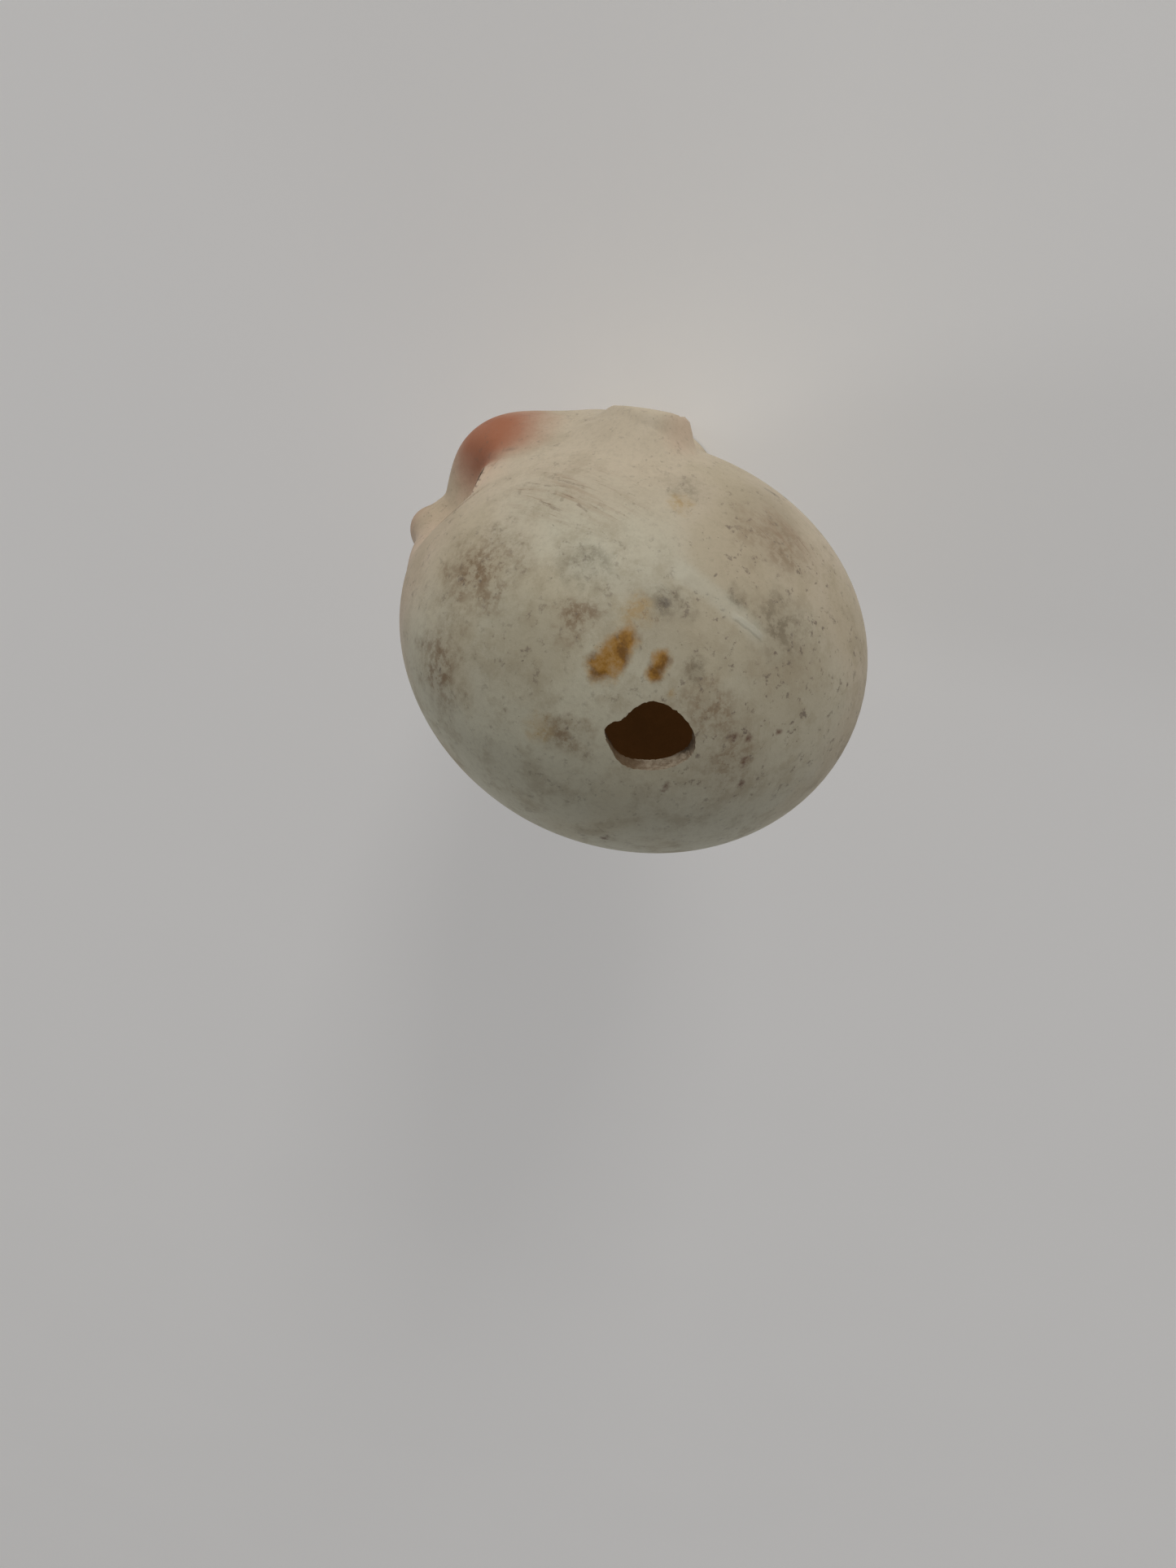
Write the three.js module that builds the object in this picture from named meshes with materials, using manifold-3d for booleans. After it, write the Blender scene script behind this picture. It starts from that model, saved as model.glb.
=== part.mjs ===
// A small bisque doll's head with glass sleeping eyes, in millimetres.
// +Z is up to the crown, the face looks along -Y and +X is the doll's left.
// The origin is the centre of the flat rim under the neck flange.
import * as THREE from 'three';
import { mergeVertices } from 'three/addons/utils/BufferGeometryUtils.js';
import Module from 'manifold-3d';

const wasm = await Module();
wasm.setup();

// Driving dimensions of the skull, measured from its centre.
const skullHalfWidth = 24.7;
const skullFront = 29.7;
const skullBack = 31.7;
const skullTop = 30.3;
const skullBottom = 28.0;
const skullHeight = 42.5;
const skullBehindNeck = 3.0;
const templeTaperShare = 0.06;

// The bisque wall and the neck with its tying groove and flange.
const wall = 2.6;
const neckRadius = 10.0;
const neckColumnHeight = 20.0;
const neckRowsHeight = 9.6;
const flangeRadius = 11.6;
const flangeThickness = 1.6;
const flangeFade = 2.0;
const neckBlend = 5.0;

// The features moulded on the face: half sizes across, forward and up, and the softness of each join.
const faceSize = [18.5, 18.0, 17.0];
const faceBlend = 6.0;
const jowlSize = [10.6, 12.0, 12.0];
const jowlBlend = 5.0;
const cheekSize = [9.1, 9.1, 9.1];
const cheekBlend = 4.0;
const chinSize = [6.4, 6.0, 5.6];
const chinBlend = 5.0;
const orbitSize = [8.2, 11.6, 7.0];
const orbitBlend = 3.5;
const bridgeSize = [2.3, 3.2, 6.5];
const bridgeBlend = 3.0;
const noseSize = [3.2, 3.2, 2.9];
const noseBlend = 2.2;
const nostrilWingSize = [1.9, 2.2, 1.7];
const nostrilWingBlend = 1.2;
const upperLipSize = [3.3, 2.3, 1.35];
const upperLipBlend = 1.0;
const lowerLipSize = [3.4, 2.4, 1.7];
const lowerLipBlend = 1.4;
const eyelidBlend = 2.2;

// Where each feature lies: shares of the skull's half width to the side, of its front and of its bottom.
const faceShares = [0, 0.303, 0.518];
const jowlShares = [0.425, 0.303, 0.464];
const cheekShares = [0.371, 0.679, 0.429];
const chinShares = [0, 0.7, 0.895];
const orbitShares = [0.405, 1.16, 0.105];
const bridgeShares = [0, 0.905, 0.19];
const noseShares = [0, 0.983, 0.322];
const nostrilWingShares = [0.115, 0.925, 0.362];
const upperLipShares = [0.075, 0.885, 0.59];
const lowerLipShares = [0, 0.87, 0.69];
const eyeShares = [0.381, 0.569, 0.125];

// The ears, raised on the sides of the head: a soft rise at the front and top that ends in a wall
// at the back, a rolled rim and a small hollow low down.
const earHalfLength = 8.3;
const earHalfHeight = 9.2;
const earFrontRise = 2.5;
const earBackRise = 4.1;
const earLowestShare = 0.36;
const earHollowDepth = 1.3;
const earHumpRise = 0.7;
const earRimRise = 0.3;
const earRoot = 2.0;
const earSkirt = 1.3;
const earShares = [1, 0.28, 0.282];
const earHollowShares = { back: 0.04, up: -0.5, width: 0.33 };
const earHumpShares = { back: -0.15, up: 0, width: 0.35 };
const earRimShares = { radius: 0.82, width: 0.12, middle: 0.45, back: 0.55, up: 0.3 };
const earEdgeShares = { back: 0.2, up: 1.35, upFrom: -0.2, front: 0.8, soft: 1.5, softFrom: 0.25 };
const earFadeShares = { low: -0.8, high: 0.05 };
const earOutlineShares = { taper: 0.08, lean: 0.14 };
const earRingShares = [1, 0.93, 0.84, 0.72, 0.58, 0.42, 0.22];

// The eyes and the lids, all turning on one line through both eyeballs.
const eyeballRadius = 5.8;
const glassWall = 0.9;
const eyeballMouthRadius = 2.9;
const lidGap = 0.2;
const lidThickness = 0.45;
const runningGap = 0.3;
const socketLip = 1.1;
const socketRadius = 8.6;
const socketBlend = 0.8;
const lidLowerAngle = THREE.MathUtils.degToRad(30);
const lidUpperAngle = THREE.MathUtils.degToRad(102);
const lidSideAngle = THREE.MathUtils.degToRad(62);
const eyeClosingAngle = THREE.MathUtils.degToRad(54);

// The almond cut for each eye, from its inner to its outer corner.
const almondInner = 4.3;
const almondOuter = 4.6;
const almondUpper = 2.7;
const almondLower = 2.1;
const almondOuterDrop = 0.2;
const almondReach = 12.0;

// The hole in the crown, as its place on the skull and its uneven edge, anticlockwise from the back.
const crownHoleShares = [-0.304, -0.145, 0.941];
const crownHoleLength = 10.25;
const crownHoleWidth = 8.1;
const crownHoleReach = 9.0;
const crownHoleEdgeShares = [
  [0.507, 0.049], [0.429, 0.204], [0.293, 0.327], [0.146, 0.405], [-0.029, 0.432],
  [-0.146, 0.389], [-0.244, 0.272], [-0.322, 0.099], [-0.361, 0.027], [-0.420, -0.012],
  [-0.473, -0.142], [-0.429, -0.259], [-0.341, -0.383], [-0.215, -0.519], [-0.068, -0.568],
  [0.117, -0.531], [0.302, -0.432], [0.449, -0.290], [0.527, -0.117],
];

// The iron wire that joins the eyes, the plaster in each eyeball and the lead weight.
const wireRadius = 0.45;
const wireBackGap = 0.65;
const pivotPinLength = 1.35;
const plasterNeckLength = 1.4;
const plasterKnobRadius = 3.2;
const plasterKnobHeight = 1.4;
const plasterCapRadius = 4.1;
const plasterCapHeight = 1.75;
const plasterKnobShares = { radius: 0.7, height: 0.9 };
const plasterCapShares = [{ radius: 0.85, height: 0.65 }, { radius: 0.5, height: 0.92 }];
const weightRadius = 4.4;
const weightLength = 9.0;
const weightChamfer = 1.2;
const weightArm = 15.0;

// The plaster dabs in the temples that carry the wire's ends, and the cork in the chin.
const dabRadius = 3.7;
const dabReach = 6.0;
const dabRound = 0.5;
const dabBehindPivot = 1.9;
const corkRadius = 3.3;
const corkReach = 30.0;

// How finely the round surfaces are cut.
const skinColumns = 62;
const neckRows = 7;
const skinRows = 48;
const cavityColumns = 32;
const cavityNeckRows = 3;
const cavityRows = 22;
const faceCrowdingShare = 0.68;
const faceRowShare = 0.35;
const rowCrowdingShare = 0.7;
const earSides = 28;
const roundSides = 20;
const glassRows = 10;
const lidRows = 8;
const wireSides = 8;
const wireSteps = 44;
const wireRoundShares = [0.2, 0.4, 0.6, 0.8, 1];
const stemSteps = 4;
const almondSteps = 9;
const solveSteps = 26;
const solveReach = 70.0;
const overrun = 2.0;
const weldDistance = 0.00005;

const skullCentre = new THREE.Vector3(0, skullBehindNeck, skullHeight);

/** A place on the head as shares of the skull's half width, front and bottom. */
function place(shares) {
  return new THREE.Vector3(
    shares[0] * skullHalfWidth,
    skullBehindNeck - shares[1] * skullFront,
    skullHeight - shares[2] * skullBottom,
  );
}

const eyeCentre = place(eyeShares);
const lidOuterRadius = eyeballRadius + lidGap + lidThickness;
const socketFrontRadius = lidOuterRadius + runningGap;
const bulgeRadius = socketFrontRadius + socketLip;
const socketCentre = eyeCentre.clone();
socketCentre.y += socketRadius - socketFrontRadius;
const coreMasses = [
  { at: place(faceShares), size: faceSize, blend: faceBlend },
  { at: place(jowlShares), size: jowlSize, blend: jowlBlend },
  { at: place(cheekShares), size: cheekSize, blend: cheekBlend },
  { at: place(chinShares), size: chinSize, blend: chinBlend },
];
const orbit = { at: place(orbitShares), size: orbitSize, blend: orbitBlend };
const faceDetails = [
  { at: eyeCentre, size: [bulgeRadius, bulgeRadius, bulgeRadius], blend: eyelidBlend },
  { at: place(bridgeShares), size: bridgeSize, blend: bridgeBlend },
  { at: place(noseShares), size: noseSize, blend: noseBlend },
  { at: place(nostrilWingShares), size: nostrilWingSize, blend: nostrilWingBlend },
  { at: place(upperLipShares), size: upperLipSize, blend: upperLipBlend },
  { at: place(lowerLipShares), size: lowerLipSize, blend: lowerLipBlend },
];

/** The lesser of two distances, rounded over where they are within the blend of each other. */
function softUnion(a, b, blend) {
  const h = Math.min(Math.max(0.5 + (b - a) / (2 * blend), 0), 1);
  return b + (a - b) * h - blend * h * (1 - h);
}

/** Distance to an ellipsoid, from its scaled radius and the slope of that radius. */
function ellipsoidDistance(x, y, z, size) {
  const scaled = Math.hypot(x / size[0], y / size[1], z / size[2]);
  const slope = Math.hypot(x / size[0] ** 2, y / size[1] ** 2, z / size[2] ** 2);
  return slope > 0 ? (scaled * (scaled - 1)) / slope : -Math.min(...size);
}

/** Distance to one of the face's masses, which are alike on both sides of the head. */
function massDistance(p, mass) {
  return ellipsoidDistance(Math.abs(p.x) - mass.at.x, p.y - mass.at.y, p.z - mass.at.z, mass.size);
}

/** Distance to the skull: half ellipsoids that meet at its centre, narrowed towards the face. */
function skullDistance(p) {
  const y = p.y - skullCentre.y;
  const z = p.z - skullCentre.z;
  const depth = y < 0 ? skullFront : skullBack;
  const rise = z > 0 ? skullTop : skullBottom;
  return ellipsoidDistance(p.x / (1 + (templeTaperShare * y) / depth), y, z, [skullHalfWidth, depth, rise]);
}

/** Distance to the upright neck column of a given radius. */
function neckDistance(p, radius) {
  return Math.max(Math.hypot(p.x, p.y) - radius, p.z - neckColumnHeight);
}

/** Radius of the neck's outside at a height: a flange at the rim that fades into the tying groove. */
function neckOutline(z) {
  const above = Math.max(z - flangeThickness, 0) / flangeFade;
  return neckRadius + (flangeRadius - neckRadius) * Math.exp(-above * above);
}

/** The head's main form: skull, face, jowls, cheeks and chin joined, with the eye hollows pressed in. */
function formDistance(p) {
  let d = skullDistance(p);
  for (const mass of coreMasses) d = softUnion(d, massDistance(p, mass), mass.blend);
  return -softUnion(-d, massDistance(p, orbit), orbit.blend);
}

/** The outside of the bisque: the main form with eyelids, nose, lips and the flanged neck. */
function skinDistance(p) {
  let d = formDistance(p);
  for (const detail of faceDetails) d = softUnion(d, massDistance(p, detail), detail.blend);
  return softUnion(d, neckDistance(p, neckOutline(p.z)), neckBlend);
}

/** The hollow: the main form drawn in by the wall, with a ground socket behind each eye opening. */
function cavityDistance(p, drawnIn) {
  const form = softUnion(formDistance(p), neckDistance(p, neckRadius), neckBlend) + wall;
  const fromSocket = Math.hypot(Math.abs(p.x) - socketCentre.x, p.y - socketCentre.y, p.z - socketCentre.z);
  return softUnion(form, fromSocket - socketRadius, socketBlend) + drawnIn;
}

/** The point where a ray from inside leaves a form, found by halving. */
function surfacePoint(from, direction, distance) {
  let near = 0;
  let far = solveReach;
  const p = new THREE.Vector3();
  for (let i = 0; i < solveSteps; i++) {
    const middle = (near + far) / 2;
    p.copy(direction).multiplyScalar(middle).add(from);
    if (distance(p) < 0) near = middle;
    else far = middle;
  }
  return p;
}

/** Joins rings of points into one closed skin, with a flat cap below the first and a point on the last. */
function skinOf(rings, top) {
  const count = rings[0].length;
  const points = rings.flat();
  const bottom = rings[0].reduce((sum, p) => sum.add(p), new THREE.Vector3()).divideScalar(count);
  const bottomIndex = points.push(bottom) - 1;
  const topIndex = points.push(top) - 1;
  const faces = [];
  const last = (rings.length - 1) * count;
  for (let i = 0; i < count; i++) {
    const next = (i + 1) % count;
    faces.push(bottomIndex, next, i, topIndex, last + i, last + next);
    for (let row = 0; row < last; row += count) {
      faces.push(row + i, row + next, row + count + i, row + next, row + count + next, row + count + i);
    }
  }
  const geometry = new THREE.BufferGeometry().setFromPoints(points);
  geometry.setIndex(faces);
  return geometry;
}

/** A closed three.js geometry as a solid for joining and cutting. */
function solidFrom(geometry) {
  const bare = geometry.clone();
  bare.deleteAttribute('normal');
  bare.deleteAttribute('uv');
  const merged = mergeVertices(bare, weldDistance);
  const mesh = { numProp: 3, vertProperties: merged.attributes.position.array, triVerts: merged.index.array };
  mesh.triVerts = new Uint32Array(mesh.triVerts);
  return new wasm.Manifold(new wasm.Mesh(mesh));
}

/** A solid as a three.js geometry. */
function geometryFrom(solid) {
  const mesh = solid.getMesh();
  const geometry = new THREE.BufferGeometry();
  const positions = new Float32Array(mesh.numVert * 3);
  for (let i = 0; i < mesh.numVert; i++) {
    positions.set(mesh.vertProperties.subarray(i * mesh.numProp, i * mesh.numProp + 3), i * 3);
  }
  geometry.setAttribute('position', new THREE.BufferAttribute(positions, 3));
  geometry.setIndex(new THREE.BufferAttribute(mesh.triVerts, 1));
  geometry.computeVertexNormals();
  return geometry;
}

/** The direction round the neck for a column, with the columns crowded towards the face. */
function columnDirection(share) {
  const turn = (share * 2 - 1) * Math.PI;
  const angle = turn - faceCrowdingShare * Math.sin(turn);
  return new THREE.Vector3(Math.sin(angle), -Math.cos(angle), 0);
}

/** How far up the fan of rows a row lies, with the rows crowded over the face. */
function rowShare(share) {
  const phase = 2 * Math.PI * faceRowShare;
  const wave = Math.sin(2 * Math.PI * share - phase) + Math.sin(phase);
  return share - (rowCrowdingShare / (2 * Math.PI)) * wave;
}

/** A closed head-shaped skin: level rows up the neck, then a fan of rays from the skull's centre. */
function headSkin(distance, low, columns, levelRows, fanRows) {
  const outward = Array.from({ length: columns }, (_, i) => columnDirection(i / columns));
  const rings = [];
  for (let row = 0; row <= levelRows; row++) {
    const level = new THREE.Vector3(0, 0, low + ((neckRowsHeight - low) * row) / levelRows);
    rings.push(outward.map((direction) => surfacePoint(level, direction, distance).clone()));
  }
  const starts = rings[levelRows].map((p) => p.clone().sub(skullCentre).normalize());
  for (let row = 1; row < fanRows; row++) {
    const share = rowShare(row / fanRows);
    rings.push(starts.map((start) => {
      const tilt = Math.asin(start.z) + (Math.PI / 2 - Math.asin(start.z)) * share;
      const level = new THREE.Vector3(start.x, start.y, 0).setLength(Math.cos(tilt));
      level.z = Math.sin(tilt);
      return surfacePoint(skullCentre, level, distance).clone();
    }));
  }
  return skinOf(rings, surfacePoint(skullCentre, new THREE.Vector3(0, 0, 1), distance).clone());
}

/** The head's hollow as a solid, drawn in from the bisque by a clearance. */
function hollow(drawnIn) {
  const distance = (p) => cavityDistance(p, drawnIn);
  return solidFrom(headSkin(distance, -overrun, cavityColumns, cavityNeckRows, cavityRows));
}

/** A bell curve over the ear round a place in it, given as shares. */
function earBell(back, up, shares) {
  const away = Math.hypot(back - shares.back, up - shares.up) / shares.width;
  return Math.exp(-(away ** 2));
}

/** How the ear's edge falls to the head: steep at the back, soft towards the front and the top. */
function earEdge(back, up) {
  const above = THREE.MathUtils.clamp(up - earEdgeShares.upFrom, 0, 1);
  const ahead = THREE.MathUtils.clamp(-back, 0, 1);
  const width = Math.min(earEdgeShares.back + earEdgeShares.up * above + earEdgeShares.front * ahead, 1);
  const inward = THREE.MathUtils.clamp((1 - Math.hypot(back, up)) / width, 0, 1);
  const soft = THREE.MathUtils.clamp(earEdgeShares.soft * width - earEdgeShares.softFrom, 0, 1);
  return THREE.MathUtils.lerp(Math.sqrt(inward), THREE.MathUtils.smoothstep(inward, 0, 1), soft);
}

/** How far the ear stands off the head at a place in it, as shares of its half length and half height. */
function earRise(back, up) {
  const radius = Math.hypot(back, up);
  const ramp = THREE.MathUtils.lerp(earFrontRise, earBackRise, THREE.MathUtils.clamp((1 + back) / 2, 0, 1));
  const fade = THREE.MathUtils.smoothstep(up, earFadeShares.low, earFadeShares.high);
  const fromRim = (radius - earRimShares.radius) / earRimShares.width;
  const rimShare = Math.max(earRimShares.middle + earRimShares.back * back + earRimShares.up * up, 0);
  const rim = earRimRise * rimShare * Math.exp(-(fromRim ** 2));
  const hump = earHumpRise * earBell(back, up, earHumpShares);
  const bowl = earHollowDepth * earBell(back, up, earHollowShares);
  const body = ramp * THREE.MathUtils.lerp(earLowestShare, 1, fade) + rim + hump - bowl;
  return body * earEdge(back, up) - earSkirt * radius ** 4;
}

/** One ear with its root in the wall, on the side given by its sign. */
function ear(side) {
  const centre = place(earShares);
  const across = new THREE.Vector3(side, 0, 0);
  const ring = (radius, height) => Array.from({ length: earSides }, (_, i) => {
    const angle = (side * 2 * Math.PI * i) / earSides;
    return earPoint(centre, across, radius * Math.cos(angle), radius * Math.sin(angle), height);
  });
  const rings = earRingShares.map((radius) => ring(radius, null));
  return skinOf([ring(1, -earRoot), ...rings], earPoint(centre, across, 0, 0, null));
}

/** A point of the ear above its place on the side of the head, or at a set height from the skin. */
function earPoint(centre, across, back, up, height) {
  const spread = back * (1 + earOutlineShares.taper * up) + earOutlineShares.lean * up;
  const level = new THREE.Vector3(0, centre.y + spread * earHalfLength, centre.z + up * earHalfHeight);
  const p = surfacePoint(level, across, skinDistance).clone();
  return p.addScaledVector(across, height === null ? Math.max(earRise(back, up), -earSkirt) : height);
}

/** The almond opening of one eye as a cutter along the line of sight. */
function almondCutter(side) {
  const outline = new THREE.Shape();
  outline.moveTo(-side * almondInner, 0);
  outline.quadraticCurveTo(0, 2 * almondUpper, side * almondOuter, -almondOuterDrop);
  outline.quadraticCurveTo(0, -2 * almondLower, -side * almondInner, 0);
  const settings = { depth: almondReach, bevelEnabled: false, curveSegments: almondSteps };
  const cutter = new THREE.ExtrudeGeometry(outline, settings);
  cutter.rotateX(Math.PI / 2);
  cutter.translate(side * eyeCentre.x, eyeCentre.y - eyeballRadius / 2, eyeCentre.z);
  return cutter;
}

/** The uneven hole in the crown as a cutter square to the skull there. */
function crownHoleCutter() {
  const centre = place([crownHoleShares[0], crownHoleShares[1], 0]);
  centre.z = skullHeight + crownHoleShares[2] * skullTop;
  const outline = new THREE.Shape();
  outline.setFromPoints(crownHoleEdge().getPoints(2 * crownHoleEdgeShares.length).slice(0, -1));
  const cutter = new THREE.ExtrudeGeometry(outline, { depth: crownHoleReach, bevelEnabled: false });
  cutter.translate(0, 0, -crownHoleReach / 2);
  const outward = centre.clone().sub(skullCentre).normalize();
  const back = new THREE.Vector3(0, 1, 0).addScaledVector(outward, -outward.y).normalize();
  const frame = new THREE.Matrix4().makeBasis(back, outward.clone().cross(back), outward).setPosition(centre);
  return cutter.applyMatrix4(frame);
}

/** The hole's edge as a smooth closed line through its points. */
function crownHoleEdge() {
  const points = crownHoleEdgeShares.map(
    (share) => new THREE.Vector3(share[0] * crownHoleLength, -share[1] * crownHoleWidth, 0),
  );
  return new THREE.CatmullRomCurve3(points.reverse(), true, 'centripetal');
}

/** The whole bisque shell. */
function headShell() {
  let shell = solidFrom(headSkin(skinDistance, 0, skinColumns, neckRows, skinRows));
  for (const side of [1, -1]) shell = shell.add(solidFrom(ear(side)));
  shell = shell.subtract(hollow(0)).subtract(solidFrom(crownHoleCutter()));
  for (const side of [1, -1]) shell = shell.subtract(solidFrom(almondCutter(side)));
  return geometryFrom(shell);
}

/** Points of a circular arc for a turned profile: angle from the axis, measured at the centre. */
function arcProfile(radius, from, to, steps) {
  return Array.from({ length: steps + 1 }, (_, i) => {
    const angle = from + ((to - from) * i) / steps;
    return new THREE.Vector2(radius * Math.sin(angle), -radius * Math.cos(angle));
  });
}

/** A blown glass eyeball, open at the back where its stem was broken off. */
function eyeball() {
  const inner = eyeballRadius - glassWall;
  const mouthOutside = Math.PI - Math.asin(eyeballMouthRadius / eyeballRadius);
  const mouthInside = Math.PI - Math.asin(eyeballMouthRadius / inner);
  const profile = [
    ...arcProfile(eyeballRadius, 0, mouthOutside, glassRows),
    ...arcProfile(inner, mouthInside, 0, glassRows / 2),
  ];
  return new THREE.LatheGeometry(closedOnAxis(profile), roundSides);
}

/** The same profile with its two ends put exactly on the axis. */
function closedOnAxis(profile) {
  profile[0].x = 0;
  profile[profile.length - 1].x = 0;
  return profile;
}

/** A wax lid: a patch of a hollow ball that turns with the eye and lies over its top. */
function eyelid() {
  const ring = (radius, share) => {
    const side = lidSideAngle * (2 * share - 1);
    return Array.from({ length: lidRows + 1 }, (_, i) => {
      const lift = lidLowerAngle + ((lidUpperAngle - lidLowerAngle) * i) / lidRows;
      return new THREE.Vector3(
        radius * Math.sin(side),
        -radius * Math.cos(side) * Math.cos(lift),
        radius * Math.cos(side) * Math.sin(lift),
      );
    });
  };
  const rings = Array.from({ length: lidRows + 1 }, (_, i) => {
    const share = i / lidRows;
    return [...ring(lidOuterRadius, share), ...ring(eyeballRadius + lidGap, share).reverse()];
  });
  return stripOf(rings);
}

/** Joins equal closed sections along a path into a solid, with its first and last section filled. */
function stripOf(sections) {
  const count = sections[0].length;
  const points = sections.flat();
  const faces = [];
  const last = (sections.length - 1) * count;
  for (let i = 0; i < count; i++) {
    const next = (i + 1) % count;
    for (let row = 0; row < last; row += count) {
      faces.push(row + i, row + count + i, row + next, row + next, row + count + i, row + count + next);
    }
  }
  for (let i = 0; i < count / 2 - 1; i++) {
    const far = count - 1 - i;
    faces.push(i, i + 1, far, i + 1, far - 1, far);
    faces.push(last + i + 1, last + i, last + far, last + far - 1, last + i + 1, last + far);
  }
  const geometry = new THREE.BufferGeometry().setFromPoints(points);
  geometry.setIndex(faces);
  return geometry;
}

const wireSideStandoff = eyeballRadius + runningGap + wireRadius;
const wireBackStandoff = eyeballRadius + wireBackGap + wireRadius;

/** The line of the eye wire: pivot pin, round behind the eyeball, across to the other eye and out again. */
function wireLine() {
  const half = [];
  const pinBase = eyeCentre.x + wireSideStandoff;
  half.push(new THREE.Vector3(pinBase + pivotPinLength, eyeCentre.y, eyeCentre.z));
  half.push(new THREE.Vector3(pinBase + pivotPinLength / 2, eyeCentre.y, eyeCentre.z));
  half.push(new THREE.Vector3(pinBase, eyeCentre.y + wireRadius / 2, eyeCentre.z));
  for (const share of wireRoundShares) {
    const angle = (share * Math.PI) / 2;
    const radius = THREE.MathUtils.lerp(wireSideStandoff, wireBackStandoff, share);
    const out = eyeCentre.x + radius * Math.cos(angle);
    half.push(new THREE.Vector3(out, eyeCentre.y + radius * Math.sin(angle), eyeCentre.z));
  }
  half.push(new THREE.Vector3(eyeCentre.x / 2, eyeCentre.y + wireBackStandoff, eyeCentre.z));
  const other = half.map((p) => new THREE.Vector3(-p.x, p.y, p.z)).reverse();
  return new THREE.CatmullRomCurve3([...half, ...other], false, 'centripetal');
}

/** A round rod along a line. */
function rod(line, radius, steps) {
  const section = new THREE.Shape().absarc(0, 0, radius, 0, 2 * Math.PI);
  const settings = { steps, extrudePath: line, curveSegments: wireSides / 2, bevelEnabled: false };
  return new THREE.ExtrudeGeometry(section, settings);
}

const armAngle = Math.PI / 2 - eyeClosingAngle;
const weightCentre = new THREE.Vector3(
  0,
  eyeCentre.y + weightArm * Math.sin(armAngle),
  eyeCentre.z - weightArm * Math.cos(armAngle),
);
const stemTop = new THREE.Vector3(0, eyeCentre.y + wireBackStandoff, eyeCentre.z);
const stemDirection = weightCentre.clone().sub(stemTop).normalize();

/** The stem from the middle of the cross wire down into the weight. */
function stemLine() {
  return new THREE.LineCurve3(stemTop, weightCentre);
}

/** The bent iron wire that joins both eyes to the weight. */
function yokeWire() {
  const cross = solidFrom(rod(wireLine(), wireRadius, wireSteps));
  return geometryFrom(cross.add(solidFrom(rod(stemLine(), wireRadius, stemSteps))));
}

/** The plaster that fills an eyeball's mouth and is cast round the wire, for the side given by its sign. */
function eyePlaster(side) {
  const mouth = Math.sqrt(eyeballRadius ** 2 - eyeballMouthRadius ** 2);
  const neck = eyeballMouthRadius - runningGap;
  const seat = eyeballRadius + runningGap;
  const seatAt = (radius) => Math.sqrt(seat ** 2 - radius ** 2);
  const knob = mouth - plasterNeckLength;
  const capAt = (share) => wireBackStandoff + plasterCapHeight * share;
  const knobAt = (share) => knob - plasterKnobHeight * share;
  const profile = [
    new THREE.Vector2(0, knobAt(1)),
    new THREE.Vector2(plasterKnobRadius * plasterKnobShares.radius, knobAt(plasterKnobShares.height)),
    new THREE.Vector2(plasterKnobRadius, knobAt(1 / 2)),
    new THREE.Vector2(neck, knob),
    new THREE.Vector2(neck, seatAt(neck)),
    new THREE.Vector2(plasterCapRadius, seatAt(plasterCapRadius)),
    new THREE.Vector2(plasterCapRadius, wireBackStandoff),
    ...plasterCapShares.map((cap) => new THREE.Vector2(plasterCapRadius * cap.radius, capAt(cap.height))),
    new THREE.Vector2(0, capAt(1)),
  ];
  const body = new THREE.LatheGeometry(profile, roundSides);
  body.translate(side * eyeCentre.x, eyeCentre.y, eyeCentre.z);
  const bore = solidFrom(rod(wireLine(), wireRadius + runningGap, wireSteps));
  return geometryFrom(solidFrom(body).subtract(bore));
}

/** The cast lead weight, along its own +Y from its lower end, with a blind hole for the stem. */
function leadWeight() {
  const half = weightLength / 2;
  const bore = wireRadius + runningGap;
  const profile = [
    new THREE.Vector2(0, -half),
    new THREE.Vector2(weightRadius - weightChamfer, -half),
    new THREE.Vector2(weightRadius, weightChamfer - half),
    new THREE.Vector2(weightRadius, half - weightChamfer),
    new THREE.Vector2(weightRadius - weightChamfer, half),
    new THREE.Vector2(bore, half),
    new THREE.Vector2(bore, -runningGap),
    new THREE.Vector2(0, -runningGap),
  ];
  return new THREE.LatheGeometry(profile, roundSides);
}

/** A dab of plaster stuck in one temple round the end of the wire. */
function templePlaster(side) {
  const face = eyeCentre.x + wireSideStandoff + wireRadius + runningGap;
  const profile = [
    new THREE.Vector2(0, 0),
    new THREE.Vector2(dabRadius - dabRound, 0),
    new THREE.Vector2(dabRadius, dabRound),
    new THREE.Vector2(dabRadius, dabReach),
    new THREE.Vector2(0, dabReach),
  ];
  const lump = new THREE.LatheGeometry(profile, roundSides);
  lump.rotateZ((-side * Math.PI) / 2);
  lump.translate(side * face, eyeCentre.y + dabBehindPivot, eyeCentre.z);
  const boreRadius = wireRadius + runningGap;
  const bore = new THREE.CylinderGeometry(boreRadius, boreRadius, 2 * dabReach, roundSides);
  bore.rotateZ(Math.PI / 2);
  bore.translate(side * face, eyeCentre.y, eyeCentre.z);
  return geometryFrom(solidFrom(lump).intersect(hollow(runningGap)).subtract(solidFrom(bore)));
}

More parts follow.
